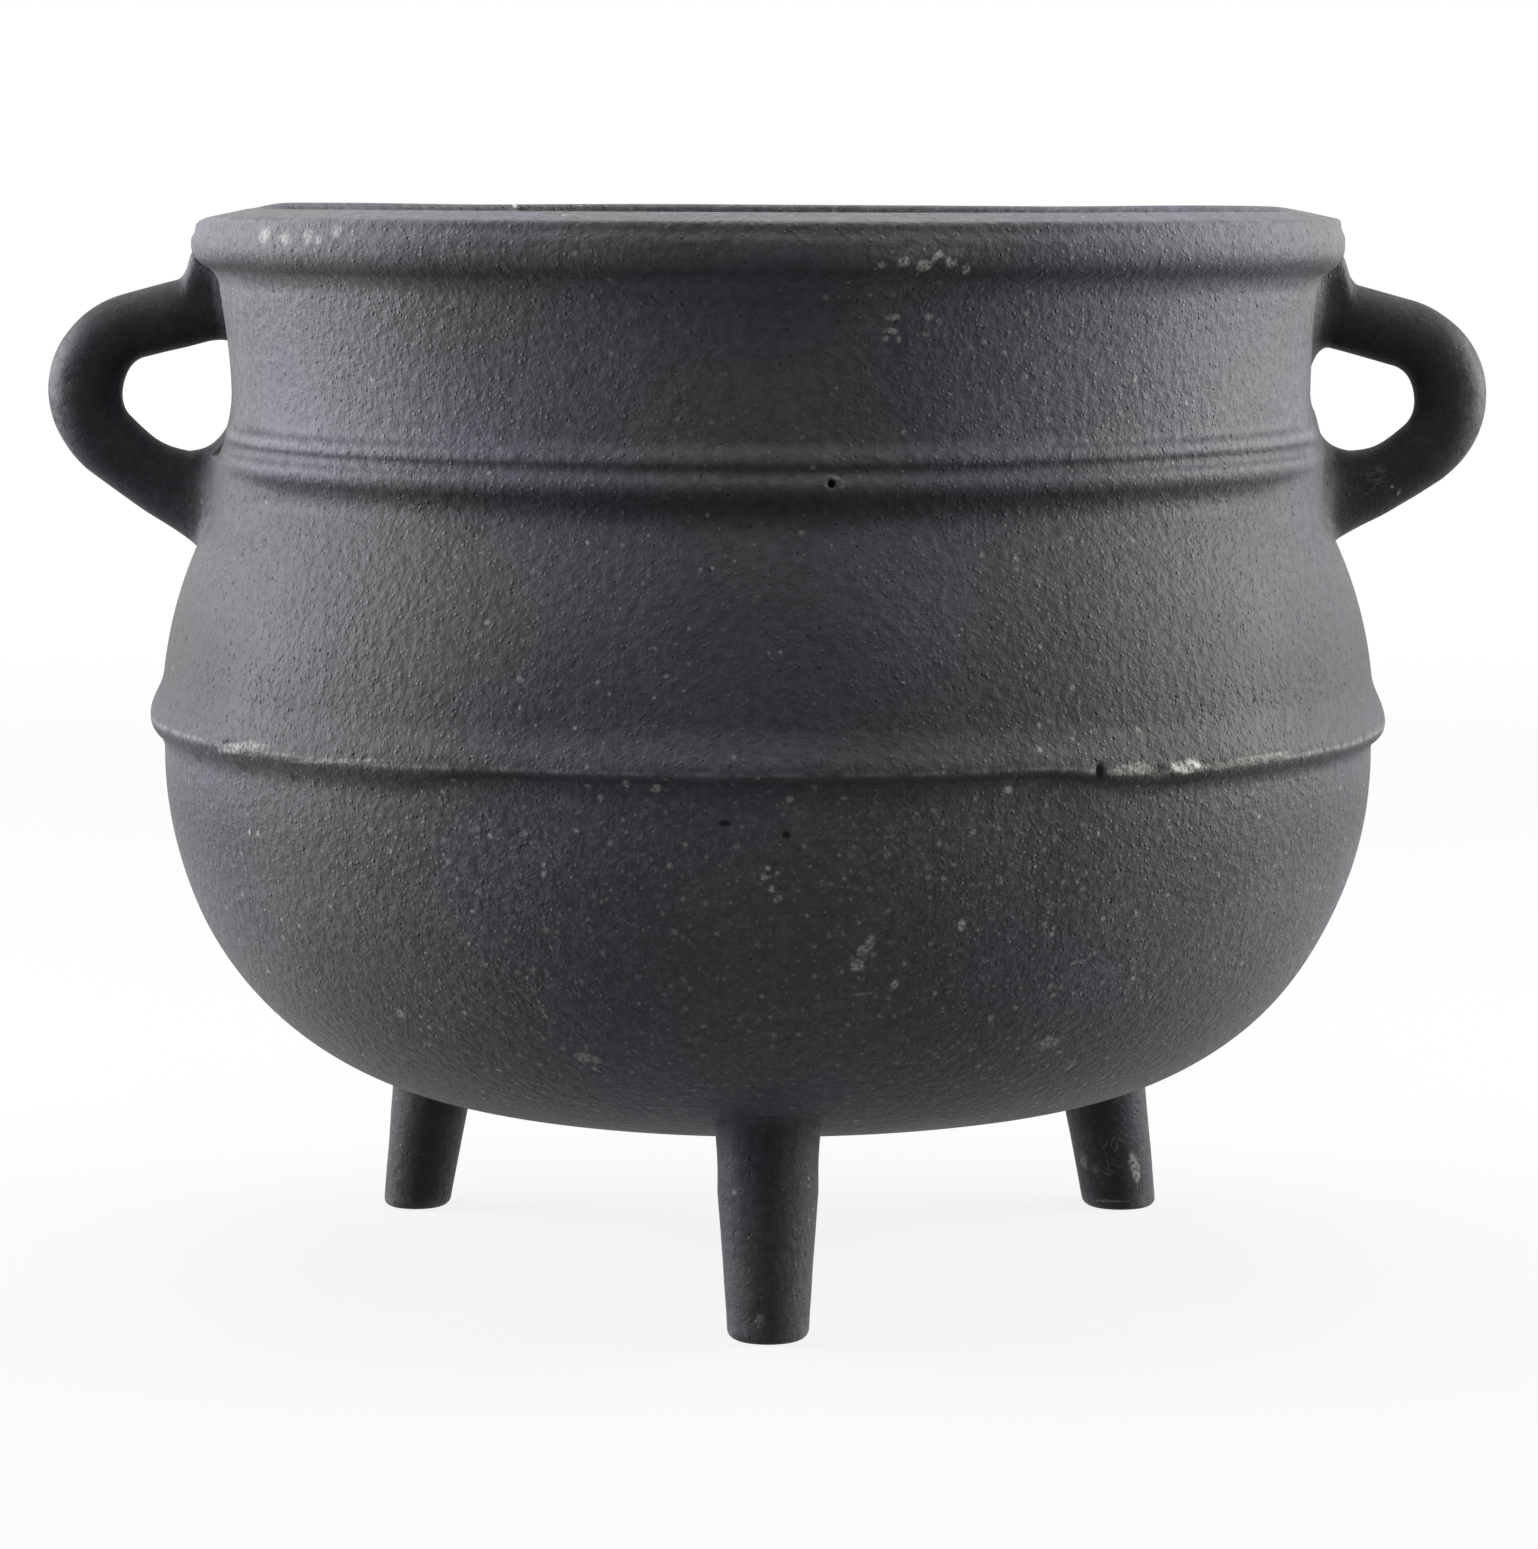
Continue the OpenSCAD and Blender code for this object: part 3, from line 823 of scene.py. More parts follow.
# %% [markdown]
# ## The feet
# Each foot is a tapered peg that leans out a little, cast on the bowl with hardly any fillet. A circle is
# extruded up the leaning axis, a plane cuts the bottom level with the floor, and a bevel rounds the edge of the
# sole, which is worn round on the real pot. The root reaches the bowl in the same way as the ears'.

# %% Sizes of the feet
FOOT_SIDES = 64
foot_ring_r = belly_r - 31
foot_splay = math.radians(9.4)
foot_len = 34.2
foot_edge, foot_flare = 1.5, 0.6
foot_below, foot_bare = -3, 4
foot_step, shaft_top = 1, 24
FEET = {
    "front_foot": dict(turn=0, tip_r=6.65, root_r=9),
    "rear_left_foot": dict(turn=-120, tip_r=6, root_r=7.9),
    "rear_right_foot": dict(turn=120, tip_r=6.6, root_r=8.3),
}
FOOT_WAVES = ((14, 0.14), (5, 0.06))


# %% Cast the feet
def foot_wear(place):
    """The edge of the sole is rubbed bare."""
    return hump(place.z, 0.6, 2.2)


def make_foot(node, foot):
    """One foot under the bowl."""
    bm = bmesh.new()
    lean = (Matrix.Rotation(math.radians(foot["turn"]), 4, "Z")
            @ Matrix.Translation((0, -foot_ring_r, 0))
            @ Matrix.Rotation(-foot_splay, 4, "X"))
    heights = [foot_below] + [foot_bare + foot_step * i for i in range(shaft_top - foot_bare + 1)]

    def level(height):
        radius = blend(foot["tip_r"], foot["root_r"], height / foot_len)
        return lean @ Matrix.Translation((0, 0, height)) @ Matrix.Diagonal((radius, radius, 1, 1))

    first = bmesh.ops.create_circle(bm, segments=FOOT_SIDES, radius=1, matrix=level(heights[0]))["verts"]
    rim = list({e for v in first for e in v.link_edges})
    for before, after in zip(heights, heights[1:]):
        rim, verts = extrude_ring(bm, rim)
        bmesh.ops.transform(bm, matrix=level(after) @ level(before).inverted(), verts=list(verts))
    ahead = lean.to_3x3() @ Vector((0, 0, 1))
    grow_root(bm, rim, ahead, lambda spoke: foot_flare, pot_tree)
    everything = bm.verts[:] + bm.edges[:] + bm.faces[:]
    cut = bmesh.ops.bisect_plane(bm, geom=everything, plane_co=(0, 0, 0), plane_no=(0, 0, 1),
                                 clear_inner=True)["geom_cut"]
    sole_edge = [g for g in cut if isinstance(g, bmesh.types.BMEdge)]
    bmesh.ops.edgeloop_fill(bm, edges=sole_edge)
    bmesh.ops.recalc_face_normals(bm, faces=bm.faces)
    bmesh.ops.bevel(bm, geom=sole_edge, offset=foot_edge, segments=5, profile=0.5, affect="EDGES", material=-1)
    roughen(bm, FOOT_WAVES, lowest=foot_edge)
    tree = tree_of(bm)
    store(bm, "rubbed_edge", foot_wear)
    store(bm, "near_wall", near_wall)
    store(bm, "tone", plain_tone)
    return finish_piece(bm, node, node.replace("foot", "cast_foot")), tree


foot_pieces = {node: make_foot(node, foot) for node, foot in FEET.items()}

# %% [markdown]
# ## The finish
# Raw cast iron is a dark, dull grey. Three effects make it look cast and used, and each is a node group that
# the wall, the ears and the feet share with their own values: the print of the sand, pale specks of bare metal
# or lime, and marks at a given place. A group gives out only heights and masks. The shader stays outside.

# %% Helpers for node trees
COLOUR_FACTOR, COLOUR_A, COLOUR_B, COLOUR_MIXED = 0, 6, 7, 2


def add(tree, kind, inputs=None, **settings):
    """A node with its settings, whose inputs are plain values or links from other nodes."""
    node = tree.nodes.new(kind)
    for name, value in settings.items():
        setattr(node, name, value)
    for key, value in (inputs or {}).items():
        if isinstance(value, bpy.types.NodeSocket):
            tree.links.new(value, node.inputs[key])
        else:
            node.inputs[key].default_value = value
    return node


def calc(tree, operation, a, b=0.0):
    """Result of one sum on two numbers."""
    return add(tree, "ShaderNodeMath", {0: a, 1: b}, operation=operation).outputs[0]


def ramp(tree, value, low, high, low_out=0.0, high_out=1.0):
    """A soft step of a value between two limits."""
    limits = {"Value": value, "From Min": low, "From Max": high, "To Min": low_out, "To Max": high_out}
    step = add(tree, "ShaderNodeMapRange", limits, interpolation_type="SMOOTHSTEP", clamp=False)
    return step.outputs["Result"]


def mix_colour(tree, factor, a, b):
    """Colour between a and b."""
    mixer = add(tree, "ShaderNodeMix", {COLOUR_FACTOR: factor, COLOUR_A: a, COLOUR_B: b}, data_type="RGBA")
    return mixer.outputs[COLOUR_MIXED]


def new_group(name, inputs, outputs):
    """An empty shader group with its sockets, as the tree, its entry and its exit."""
    group = bpy.data.node_groups.new(name, "ShaderNodeTree")
    for label, kind, value in inputs:
        group.interface.new_socket(label, in_out="INPUT", socket_type=kind).default_value = value
    for label in outputs:
        group.interface.new_socket(label, in_out="OUTPUT", socket_type="NodeSocketFloat")
    return group, add(group, "NodeGroupInput"), add(group, "NodeGroupOutput")


VECTOR, NUMBER = "NodeSocketVector", "NodeSocketFloat"
ORIGIN = (0, 0, 0)

# %% [markdown]
# Moulding sand prints itself on the iron as rounded lumps one to two millimetres across. Single hard grains and a
# fine grit sit on them, and here and there a pit shows where a clump of sand came away. Noise is right for the
# lumps, because they have no edges, and Voronoi cells for grains and pits, because each of those stands alone.

# %% Helpers for patterns
def weighted(tree, *terms):
    """Sum of values, each times its own plain factor."""
    result = 0.0
    for factor, value in terms:
        result = add(tree, "ShaderNodeMath", {0: value, 1: factor, 2: result}, operation="MULTIPLY_ADD").outputs[0]
    return result


def clouds(tree, point, scale, detail=2.0, roughness=0.5, distortion=0.0):
    """Smooth noise around one half."""
    inputs = {"Vector": point, "Scale": scale, "Detail": detail, "Roughness": roughness, "Distortion": distortion}
    return add(tree, "ShaderNodeTexNoise", inputs).outputs[0]


def scattered(tree, point, scale, kept, radius):
    """Mask of separate soft spots, and a random value for each."""
    cells = add(tree, "ShaderNodeTexVoronoi", {"Vector": point, "Scale": scale})
    dice = add(tree, "ShaderNodeSeparateColor", {"Color": cells.outputs["Color"]})
    chosen = calc(tree, "LESS_THAN", dice.outputs[0], kept)
    size = calc(tree, "MULTIPLY", ramp(tree, dice.outputs[1], 0.0, 1.0, 0.45, 1.0), radius)
    spot = ramp(tree, calc(tree, "DIVIDE", cells.outputs["Distance"], size), 0.0, 1.0, 1.0, 0.0)
    return calc(tree, "MULTIPLY", spot, chosen), dice.outputs[2]


# %% Print of the moulding sand
def sand_cast_grain():
    """Group: height of the cast skin, a colour factor that is darker in its hollows and lighter on its lumps, and its
    slow change of tone.
    """
    tree, entry, exit = new_group(
        "sand_cast_grain",
        [("Point", VECTOR, ORIGIN), ("Lumps per metre", NUMBER, 600)],
        ["Height", "Shade", "Tone"])
    point, lumps = entry.outputs["Point"], entry.outputs["Lumps per metre"]
    lump = clouds(tree, point, lumps, 3.0, 0.6)
    grain, _ = scattered(tree, point, calc(tree, "MULTIPLY", lumps, 1.6), 0.6, 0.46)
    pit, _ = scattered(tree, point, calc(tree, "MULTIPLY", lumps, 1.1), 0.3, 0.28)
    height = weighted(tree, (0.8, lump), (0.32, grain), (-0.6, pit))
    shade = ramp(tree, height, 0.15, 0.7, 0.7, 1.3)
    tree.links.new(height, exit.inputs["Height"])
    tree.links.new(shade, exit.inputs["Shade"])
    tree.links.new(clouds(tree, point, 38.0, 4.0, 0.6), exit.inputs["Tone"])
    return tree


# %% [markdown]
# Specks are single Voronoi cells too. Only some cells are kept, so the dots lie unevenly as on the real bowl,
# and each dot has its own size and strength.

# %% Pale specks
def pale_specks():
    """Group: mask of small separate dots."""
    tree, entry, exit = new_group(
        "pale_specks",
        [("Point", VECTOR, ORIGIN), ("Cells per metre", NUMBER, 300), ("Kept", NUMBER, 0.1), ("Radius", NUMBER, 0.1)],
        ["Mask"])
    dot, dice = scattered(tree, *(entry.outputs[name] for name in ("Point", "Cells per metre", "Kept", "Radius")))
    strength = ramp(tree, dice, 0.0, 1.0, 0.25, 1.0)
    tree.links.new(calc(tree, "MULTIPLY", dot, strength), exit.inputs["Mask"])
    return tree


# %% [markdown]
# A mark at a place is an oval with a soft edge. Coarse noise bends its edge and fine noise breaks it up, so no
# mark looks like a drawn disc.

# %% Mark at a place
# The same oval serves for pale marks of wear and stains, and for black painted shade in holes and under the band's
# edge.
def wear_and_shade_spot():
    """Group: mask of one oval mark, whose edge is moved by a noise value and whose inside is in bits."""
    tree, entry, exit = new_group(
        "wear_and_shade_spot",
        [("Point", VECTOR, ORIGIN), ("Place", VECTOR, ORIGIN), ("Turn", VECTOR, ORIGIN),
         ("Size", VECTOR, (1, 1, 1)), ("Noise", NUMBER, 0), ("Ragged", NUMBER, 0), ("Bits", NUMBER, 1),
         ("Strength", NUMBER, 1)],
        ["Mask"])
    plugs = {"Vector": "Point", "Location": "Place", "Rotation": "Turn", "Scale": "Size"}
    local = add(tree, "ShaderNodeMapping", {key: entry.outputs[name] for key, name in plugs.items()},
                vector_type="TEXTURE")
    far = add(tree, "ShaderNodeVectorMath", {0: local.outputs[0]}, operation="LENGTH").outputs["Value"]
    bent = add(tree, "ShaderNodeMath", {0: entry.outputs["Noise"], 1: entry.outputs["Ragged"], 2: far},
               operation="MULTIPLY_ADD").outputs[0]
    edge = ramp(tree, bent, 0.45, 1.05, 1.0, 0.0)
    mask = calc(tree, "MULTIPLY", calc(tree, "MULTIPLY", edge, entry.outputs["Bits"]), entry.outputs["Strength"])
    tree.links.new(mask, exit.inputs["Mask"])
    return tree


# %% [markdown]
# Lime or soot that dried in curls leaves thin lines. They follow one level of a twisted noise, as contour lines
# on a map do.

# %% Curled stains
def curled_stain():
    """Group: mask of thin curling lines with paler patches between them."""
    tree, entry, exit = new_group("curled_stain", [("Point", VECTOR, ORIGIN), ("Curls per metre", NUMBER, 170)], ["Mask"])
    field = clouds(tree, entry.outputs["Point"], entry.outputs["Curls per metre"], 2.0, 0.55, 1.4)
    level = calc(tree, "ABSOLUTE", calc(tree, "SUBTRACT", field, 0.5))
    line = ramp(tree, level, 0.0, 0.035, 1.0, 0.0)
    patch = ramp(tree, field, 0.56, 0.64)
    tree.links.new(weighted(tree, (0.75, line), (0.6, patch)), exit.inputs["Mask"])
    return tree


GROUPS = {make.__name__: make() for make in (sand_cast_grain, pale_specks, wear_and_shade_spot, curled_stain)}
print("node groups:", ", ".join(GROUPS))

# %% [markdown]
# A mark is given by its pixel in the photo, its half width and half height in millimetres, how far it is turned
# from level, how ragged it is and how strong. The same ray that placed the blow hole finds its place on a piece.

# %% Pale marks on the wall
POT_MARKS = {
    "chip on the left of the lip, first": ((264, 235), 2.1, 1.7, 18, 0.6, 0.4),
    "chip on the left of the lip, second": ((285, 239), 1.9, 1.3, -14, 0.6, 0.4),
    "chip on the left of the lip, third": ((308, 237), 1.7, 1.4, 30, 0.6, 0.36),
    "chip on the left of the lip, fourth": ((318, 240), 1.4, 0.9, 10, 0.7, 0.34),
    "chip on the left of the lip, last": ((337, 231), 1.4, 1.2, 24, 0.6, 0.34),
    "chip on the right of the lip, first": ((883, 265), 1.0, 0.6, -15, 0.9, 0.8),
    "chip on the right of the lip, second": ((904, 262), 1.3, 0.8, 20, 1.0, 1.0),
    "chip on the right of the lip, third": ((924, 265), 1.4, 1.0, 0, 1.2, 1.0),
    "chip on the right of the lip, fourth": ((937, 256), 1.3, 0.8, 30, 1.0, 0.9),
    "chip on the right of the lip, fifth": ((951, 262), 1.5, 0.8, -20, 1.0, 1.0),
    "chip on the right of the lip, last": ((966, 269), 0.8, 0.6, 0, 0.8, 0.7),
    "stain over those chips": ((925, 254), 6.5, 2.0, 0, 1.6, 0.16),
    "dash in the mouth": ((515, 206), 0.7, 0.5, 0, 0.2, 0.8),
    "rim of the blow hole": ((831, 483), 1.75, 1.35, 0, 0.3, 0.4),
    "edge of the pin hole": ((728, 494), 0.75, 0.75, 0, 0.3, 0.22),
    "smear by the pin hole": ((717, 488), 0.9, 0.5, -20, 0.6, 0.2),
    "speck by the pin hole": ((707, 515), 0.45, 0.45, 0, 0.2, 0.5),
    "scab on the neck, top": ((893, 317), 1.5, 0.7, 0, 0.6, 0.7),
    "scab on the neck, middle": ((892, 331), 1.6, 0.6, 0, 0.6, 0.6),
    "scab on the neck, low left": ((886, 338), 0.6, 0.7, 20, 0.4, 0.5),
    "scab on the neck, low right": ((899, 339), 0.6, 0.7, -20, 0.4, 0.5),
    "scab on the neck, far dot": ((929, 317), 0.9, 0.8, 0, 0.5, 0.5),
    "scab on the neck, farther dot": ((939, 322), 0.6, 0.6, 0, 0.4, 0.45),
    "scab on the neck, lower dot": ((926, 334), 0.7, 0.5, 0, 0.4, 0.45),
    "flash": ((1188, 767), 6.5, 1.5, 2, 0.9, 0.85),
    "flash, left end": ((1134, 769), 6.0, 1.1, 0, 1.1, 0.5),
    # The pale line of the flash running out is partly bare flash and partly a painted highlight along the crest of
    # the band.
    "flash running out": ((1258, 758), 10.0, 0.6, 1, 0.9, 0.28),
    "band on the left": ((240, 748), 10.0, 1.2, 8, 1.1, 0.36),
    "band farther right": ((335, 761), 15.0, 0.45, 5, 0.8, 0.3),
    "under the band, first": ((626, 784), 0.9, 0.5, 0, 0.5, 0.7),
    "under the band, second": ((656, 788), 1.3, 0.8, 0, 0.7, 0.85),
    "under the band, third": ((790, 799), 0.8, 0.7, 0, 0.7, 0.8),
    "under the band, fourth": ((844, 798), 0.7, 0.5, 0, 0.5, 0.5),
    "under the band, fifth": ((1008, 790), 1.1, 0.8, 0, 0.5, 0.8),
    "bright lump": ((962, 925), 0.9, 1.2, 0, 0.4, 0.9),
    "fleck right of it": ((1001, 880), 0.45, 1.1, 10, 0.8, 0.5),
    "cluster, top": ((768, 868), 0.6, 0.6, 0, 0.3, 0.9),
    "cluster, left": ((764, 877), 0.7, 0.9, 0, 0.3, 1.0),
    "cluster, right": ((777, 874), 0.6, 0.6, 0, 0.3, 0.8),
    "cluster, low": ((772, 889), 0.65, 0.9, 0, 0.3, 1.0),
    "cluster, lowest": ((778, 899), 1.0, 0.6, 40, 0.4, 0.8),
    "patch, top": ((870, 942), 1.1, 1.5, 0, 0.7, 0.8),
    "patch, left": ((863, 951), 1.2, 1.2, -30, 0.7, 0.8),
    "patch, foot": ((857, 965), 1.5, 1.2, 0, 0.8, 1.0),
    "dot under the patch": ((842, 972), 0.45, 0.45, 0, 0.3, 0.5),
    "dot over the patch": ((844, 879), 0.45, 0.45, 0, 0.3, 0.6),
    "dot beside it": ((822, 882), 0.55, 0.45, 0, 0.3, 0.4),
    "dot near the middle": ((807, 916), 0.45, 0.45, 0, 0.3, 0.5),
    "dot to the right": ((945, 878), 0.5, 0.35, 20, 0.3, 0.5),
    "low dot": ((895, 984), 0.8, 0.7, -20, 0.3, 0.9),
    "low dot, right": ((935, 993), 0.5, 0.35, 0, 0.3, 0.6),
    "low scratch": ((862, 994), 3.4, 0.22, 5, 0.3, 0.35),
    "low dots, far right": ((1048, 1043), 3.0, 1.1, 10, 2.0, 0.45),
    "fleck low on the right": ((991, 1018), 0.6, 0.5, 0, 0.4, 0.5),
    "upright scratch": ((545, 1015), 0.3, 2.0, 20, 0.3, 0.5),
    "level scratch": ((587, 1058), 3.0, 0.3, -8, 0.4, 0.5),
    "spot on the left": ((401, 1014), 1.2, 0.7, 0, 0.8, 0.4),
    "spot over the right foot": ((1070, 1066), 0.9, 0.5, 0, 0.7, 0.35),
}
print(len(POT_MARKS), "pale marks on the wall")

# %% Painted shade on the wall, and marks and stains on the ears and the feet
POT_PAINTED_SHADE = {
    "blow hole": (BLOW_HOLE, 1.15, 0.95, 0, 0.1, 0.97),
    "pin hole": ((728, 495), 0.45, 0.5, 0, 0.1, 0.9),
    "pit on the neck": ((314, 322), 0.3, 0.75, 0, 0.2, 0.6),
    "dark spot in the scab": ((896, 322), 0.5, 0.4, 0, 0.2, 0.6),
    "left pit of the bowl": ((725, 823), 1.3, 0.6, 0, 0.4, 0.95),
    "right pit of the bowl": ((786, 835), 0.75, 0.8, 0, 0.3, 0.95),
    "notch in the band": ((1099, 771), 0.95, 1.6, 0, 0.5, 0.9),
    "shadow of the flash": ((1180, 781), 8.5, 0.6, 0, 0.9, 0.5),
    # These three are painted shadows under the broken edge of the band.
    "painted shadow under the band": ((199, 758), 2.6, 0.9, 10, 0.7, 0.6),
    "second painted shadow under the band": ((243, 767), 2.0, 0.5, 8, 0.7, 0.5),
    "third painted shadow under the band": ((296, 778), 1.6, 0.7, 6, 0.7, 0.5),
}
NO_MARKS = {}
EAR_MARKS = {
    "left_ear": NO_MARKS,
    "right_ear": {"pale spot": ((1399, 492), 0.45, 0.6, 0, 0.3, 0.5), "second spot": ((1392, 487), 0.4, 0.5, 0, 0.3, 0.4)},
}
FOOT_MARKS = {
    "front_foot": {"scuff at the tip": ((759, 1322), 1.2, 1.5, 20, 1.2, 0.3)},
    "rear_left_foot": NO_MARKS,
    "rear_right_foot": {"smear on the right": ((1135, 1167), 1.3, 3.4, 14, 0.9, 0.5),
                        "smear on the left": ((1083, 1160), 1.2, 2.6, -8, 0.9, 0.25),
                        "line over the sole": ((1110, 1201), 4.6, 0.35, 2, 0.3, 0.6)},
}
STAINS = {
    "right_ear": {"curls on the lower limb": ((1372, 480), 4.2, 3.4, 30, 0.9, 0.16)},
    "rear_right_foot": {"curls": ((1104, 1158), 5.2, 8.0, -8, 0.7, 0.5)},
}


# %% Chain the marks of a piece
MARK_DEPTH = 2


def chain_marks(tree, marks, seen_on, point, ragged, bits):
    """One mask from every mark of a piece."""
    total = 0.0
    for label, (pixel, width, height, tilt, broken, strength) in marks.items():
        axes = spot_at(seen_on, *pixel)
        turned = axes.to_3x3() @ Matrix.Rotation(math.radians(-tilt), 3, "Y")
        values = {"Point": point, "Place": axes.translation * MM, "Turn": turned.to_euler(),
                  "Size": (width * MM, MARK_DEPTH * MM, height * MM),
                  "Noise": ragged, "Ragged": broken, "Bits": bits, "Strength": strength}
        spot = add(tree, "ShaderNodeGroup", node_tree=GROUPS["wear_and_shade_spot"], label=label)
        for key, value in values.items():
            if isinstance(value, bpy.types.NodeSocket):
                tree.links.new(value, spot.inputs[key])
            else:
                spot.inputs[key].default_value = value
        total = calc(tree, "MAXIMUM", spot.outputs["Mask"], total)
    return total


# %% [markdown]
# One function makes the iron of every piece. The base colour is near black, a little violet in some places and
# olive in others, and darker in the hollows of the sand print. On the wall it also carries painted shade under the
# lip and the band, in the groove and the cove, and painted light on the neck, the ridges and the band's slope.
# Specks, marks and rubbed edges mix a pale grey over it, and black painted shade is mixed into holes, pits and the
# shadows under the band's edge. Near the wall an ear or a foot takes the colour of the wall, because they are one
# casting. The height of the sand print feeds a Bump node, whose distance is the real height of the lumps.

# %% Values of the finish
# The second colour is the black of painted shade in holes, pits and under the band's edge.
PALE, SHADE_BLACK = (0.6, 0.59, 0.56, 1), (0.004, 0.004, 0.004, 1)
VIOLET, OLIVE = (0.985, 0.96, 1.08, 1), (1.0, 1.005, 0.965, 1)
WALL_COLOUR = (0.1, 0.0995, 0.1055, 1)
LUMP_HEIGHT = 0.0005
SPECULAR = 0.12
LOOKS = {
    "wall": dict(colour=WALL_COLOUR, lumps=600.0, relief=1.0, specks=(0.1, 0.75), rub=0.26),
    "ear": dict(colour=(0.036, 0.0355, 0.0375, 1), lumps=620.0, relief=0.4, specks=(0.03, 0.03), rub=0.16),
    "foot": dict(colour=(0.055, 0.054, 0.058, 1), lumps=620.0, relief=0.55, specks=(0.06, 0.06), rub=0.12),
}


def scaled(tree, colour, factor):
    """A colour times a number or another colour."""
    mixer = add(tree, "ShaderNodeMix", {COLOUR_FACTOR: 1.0, COLOUR_A: colour, COLOUR_B: factor},
                data_type="RGBA", blend_type="MULTIPLY", clamp_result=False)
    return mixer.outputs[COLOUR_MIXED]


def stored(tree, name):
    """A value that the mesh keeps on its vertices."""
    return add(tree, "ShaderNodeAttribute", attribute_name=name).outputs["Fac"]


# %% Cast iron
def cast_iron(name, look, seen_on, marks=NO_MARKS, painted_shade=NO_MARKS, stains=NO_MARKS):
    """The iron of one piece, with its own grain, specks and marks, and its painted light and shade."""
    material = bpy.data.materials.new(name)
    material.use_nodes = True
    tree = material.node_tree
    shader = tree.nodes["Principled BSDF"]
    point = add(tree, "ShaderNodeTexCoord").outputs["Object"]
    place = add(tree, "ShaderNodeSeparateXYZ", {0: point}).outputs
    grain = add(tree, "ShaderNodeGroup", node_tree=GROUPS["sand_cast_grain"])
    tree.links.new(point, grain.inputs["Point"])
    grain.inputs["Lumps per metre"].default_value = look["lumps"]
    tone = grain.outputs["Tone"]

    tint = mix_colour(tree, ramp(tree, clouds(tree, point, 22.0, 1.0), 0.4, 0.6), VIOLET, OLIVE)
    near = stored(tree, "near_wall")
    iron = mix_colour(tree, near, look["colour"], WALL_COLOUR)
    iron = scaled(tree, scaled(tree, iron, tint), ramp(tree, tone, 0.3, 0.7, 0.86, 1.14))
    # Colour darker in the hollows of the sand print and lighter on its lumps.
    iron = scaled(tree, iron, grain.outputs["Shade"])
    # Painted light and shade that the mesh keeps as its tone; it is one all over the ears and the feet.
    iron = scaled(tree, iron, stored(tree, "tone"))

    few, many = look["specks"]
    kept = ramp(tree, place["Z"], (band_z - band_under) * MM, band_z * MM, many, few)
    aside = calc(tree, "ABSOLUTE", place["X"])
    kept = calc(tree, "MULTIPLY", kept, ramp(tree, aside, 0.04, 0.075, 1.0, 0.08))
    ragged = calc(tree, "SUBTRACT", clouds(tree, point, 700.0), 0.5)
    bits = ramp(tree, clouds(tree, point, 1500.0, 1.0), 0.4, 0.56, 0.3, 1.0)
    dots = ramp(tree, clouds(tree, point, 1150.0, 2.0, 0.6), 0.52, 0.7, 0.0, 0.2)
    dots = calc(tree, "MULTIPLY", calc(tree, "MULTIPLY", dots, ramp(tree, tone, 0.35, 0.6, 0.3, 1.0)), kept)
    for cells, radius, strength in ((900.0, 0.42, 0.5), (560.0, 0.48, 0.65)):
        specks = add(tree, "ShaderNodeGroup", node_tree=GROUPS["pale_specks"])
        tree.links.new(point, specks.inputs["Point"])
        tree.links.new(kept, specks.inputs["Kept"])
        specks.inputs["Cells per metre"].default_value = cells
        specks.inputs["Radius"].default_value = radius
        dot = calc(tree, "MULTIPLY", specks.outputs["Mask"], bits)
        dots = calc(tree, "MAXIMUM", dots, calc(tree, "MULTIPLY", dot, strength))

    scuffed = ramp(tree, clouds(tree, point, 420.0, 4.0, 0.7), 0.34, 0.62)
    rubbed = calc(tree, "MULTIPLY", calc(tree, "MULTIPLY", stored(tree, "rubbed_edge"), scuffed), look["rub"])
    pale = calc(tree, "MAXIMUM", calc(tree, "MAXIMUM", rubbed, dots),
                chain_marks(tree, marks, seen_on, point, ragged, bits))
    if stains:
        curls = add(tree, "ShaderNodeGroup", node_tree=GROUPS["curled_stain"])
        tree.links.new(point, curls.inputs["Point"])
        area = chain_marks(tree, stains, seen_on, point, ragged, 1.0)
        pale = calc(tree, "MAXIMUM", pale, calc(tree, "MULTIPLY", curls.outputs["Mask"], area))
    iron = mix_colour(tree, pale, iron, PALE)
    # Black painted shade in the holes and pits, and painted shadows under the flash and under the band's broken edge.
    if painted_shade:
        iron = mix_colour(tree, chain_marks(tree, painted_shade, seen_on, point, ragged, 1.0), iron, SHADE_BLACK)
    tree.links.new(iron, shader.inputs["Base Color"])

    tree.links.new(ramp(tree, tone, 0.25, 0.75, 0.5, 0.62), shader.inputs["Roughness"])
    shader.inputs["Specular IOR Level"].default_value = SPECULAR
    relief = ramp(tree, near, 0.0, 1.0, look["relief"], 1.0)
    height = calc(tree, "MULTIPLY", grain.outputs["Height"], relief)
    bump = add(tree, "ShaderNodeBump", {"Height": height, "Distance": LUMP_HEIGHT})
    tree.links.new(bump.outputs["Normal"], shader.inputs["Normal"])
    return material


pot_piece.data.materials.append(
    cast_iron("wall_cast_iron", LOOKS["wall"], pot_tree, marks=POT_MARKS, painted_shade=POT_PAINTED_SHADE))
for node, (piece, tree) in ear_pieces.items():
    piece.data.materials.append(
        cast_iron(node + "_iron", LOOKS["ear"], tree, marks=EAR_MARKS[node], stains=STAINS.get(node, NO_MARKS)))
for node, (piece, tree) in foot_pieces.items():
    piece.data.materials.append(
        cast_iron(node + "_iron", LOOKS["foot"], tree, marks=FOOT_MARKS[node], stains=STAINS.get(node, NO_MARKS)))
print("materials:", len(bpy.data.materials))

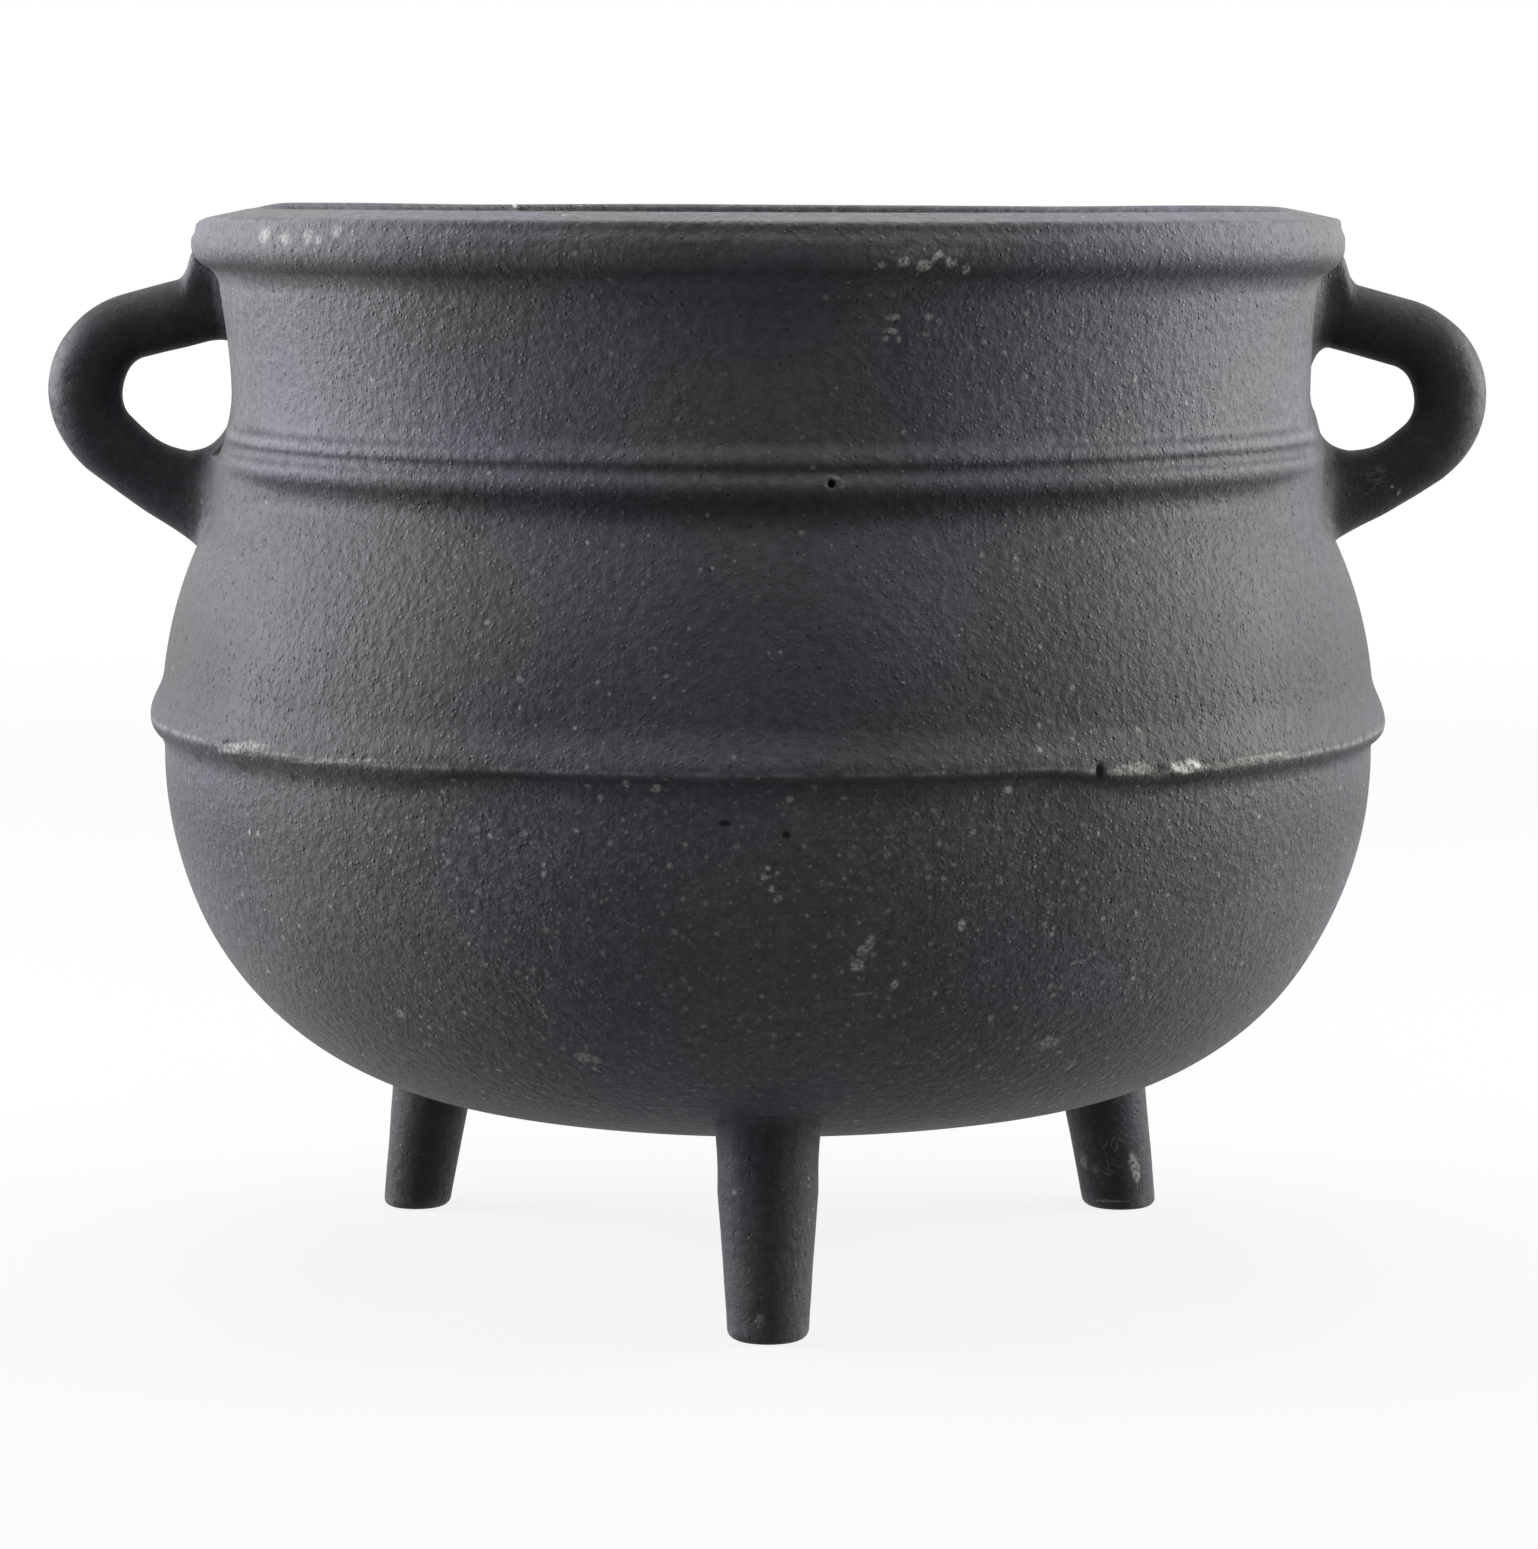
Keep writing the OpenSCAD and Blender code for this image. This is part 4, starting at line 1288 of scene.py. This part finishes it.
# %% [markdown]
# ## Light and floor
# The photo was lit from both sides, so the iron is dark in the middle and pale along its outline, and a soft
# light from above and behind picks out the lip. A weak one from above and in front draws the ridges and the band
# across the dark middle. The left lamp is a little blue and the right one a little
# warm, as in the photo. The plain floor is white for the camera and keeps a faint shadow.

# %% Soft lamps
def softbox(name, place, aim, width, height, power, colour):
    """A rectangular lamp that faces a point."""
    lamp = bpy.data.lights.new(name, "AREA")
    lamp.shape = "RECTANGLE"
    lamp.size, lamp.size_y = width, height
    lamp.energy = power
    lamp.color = colour
    holder = bpy.data.objects.new(name, lamp)
    holder.location = place
    holder.rotation_euler = (Vector(aim) - Vector(place)).to_track_quat("-Z", "Y").to_euler()
    holder.visible_camera = False
    bpy.context.scene.collection.objects.link(holder)
    return holder


middle = Vector((0, 0, 0.1))


def lamp_place(azimuth, elevation, distance=1.0):
    """Place round the middle: azimuth in degrees from the right towards the back, elevation above level."""
    a, e = math.radians(azimuth), math.radians(elevation)
    return middle + distance * Vector((math.cos(a) * math.cos(e), math.sin(a) * math.cos(e), math.sin(e)))


softbox("left_softbox", lamp_place(168, 13), middle, 0.7, 0.7, 21.5, (0.96, 0.94, 1.0))
softbox("right_softbox", lamp_place(12, 13), middle, 0.7, 0.7, 19, (1.0, 1.0, 0.955))
softbox("top_softbox", lamp_place(90, 72), middle, 0.8, 0.8, 8, (1, 1, 1))
softbox("front_softbox", lamp_place(-90, 72), middle, 0.8, 0.8, 3.9, (1, 1, 1))
print("four lamps")

# %% World
AMBIENT = 0.08
world = bpy.data.worlds.new("studio")
world.use_nodes = True
bpy.context.scene.world = world
tree = world.node_tree
path = add(tree, "ShaderNodeLightPath")
seen = calc(tree, "MAXIMUM", path.outputs["Is Camera Ray"],
            calc(tree, "MAXIMUM", path.outputs["Is Glossy Ray"], path.outputs["Is Transmission Ray"]))
shade = mix_colour(tree, seen, (AMBIENT, AMBIENT, AMBIENT, 1), (1, 1, 1, 1))
tree.links.new(shade, tree.nodes["Background"].inputs["Color"])

# %% Floor
FLOOR_REACH = 1.4
FADE_FROM, FADE_TO = 0.45, 1.2
FLOOR_GLOW = 0.86
FLOOR_SEEN, FLOOR_BOUNCE = 0.5, 0.14

ground = bmesh.new()
bmesh.ops.create_circle(ground, cap_ends=True, segments=96, radius=FLOOR_REACH)
floor_mesh = bpy.data.meshes.new("floor")
ground.to_mesh(floor_mesh)
ground.free()
floor = bpy.data.objects.new("floor", floor_mesh)
bpy.context.scene.collection.objects.link(floor)
floor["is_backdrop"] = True

paper = bpy.data.materials.new("pale_floor")
paper.use_nodes = True
tree = paper.node_tree
tree.nodes.remove(tree.nodes["Principled BSDF"])
path = add(tree, "ShaderNodeLightPath")
seen = calc(tree, "MAXIMUM", path.outputs["Is Camera Ray"],
            calc(tree, "MAXIMUM", path.outputs["Is Glossy Ray"], path.outputs["Is Transmission Ray"]))
grey = mix_colour(tree, seen, (FLOOR_BOUNCE,) * 3 + (1,), (FLOOR_SEEN,) * 3 + (1,))
matt = add(tree, "ShaderNodeBsdfDiffuse", {"Color": grey})
glow = add(tree, "ShaderNodeEmission", {"Color": (1, 1, 1, 1), "Strength": 1.0})
lit = add(tree, "ShaderNodeMixShader", {0: calc(tree, "MULTIPLY", seen, FLOOR_GLOW),
                                        1: matt.outputs[0], 2: glow.outputs[0]})
point = add(tree, "ShaderNodeTexCoord").outputs["Object"]
far = add(tree, "ShaderNodeVectorMath", {0: point}, operation="LENGTH").outputs["Value"]
clear = add(tree, "ShaderNodeBsdfTransparent")
faded = add(tree, "ShaderNodeMixShader", {0: ramp(tree, far, FADE_FROM, FADE_TO),
                                          1: lit.outputs[0], 2: clear.outputs[0]})
tree.links.new(faded.outputs[0], tree.nodes["Material Output"].inputs["Surface"])
floor_mesh.materials.append(paper)

# %% [markdown]
# ## Close the scene
# The box of the dressed cauldron is printed beside the box of the imported model. The dressed
# cauldron must fill the same box as the imported model, to a few parts in a hundred.

# %% Print both boxes
seen_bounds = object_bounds()
boxes = {"cad": [list(corner) for corner in cad_bounds], "scene": [list(corner) for corner in seen_bounds]}
for label, (low, high) in boxes.items():
    print(label, "box", [round((b - a) / MM, 1) for a, b in zip(low, high)], "mm")
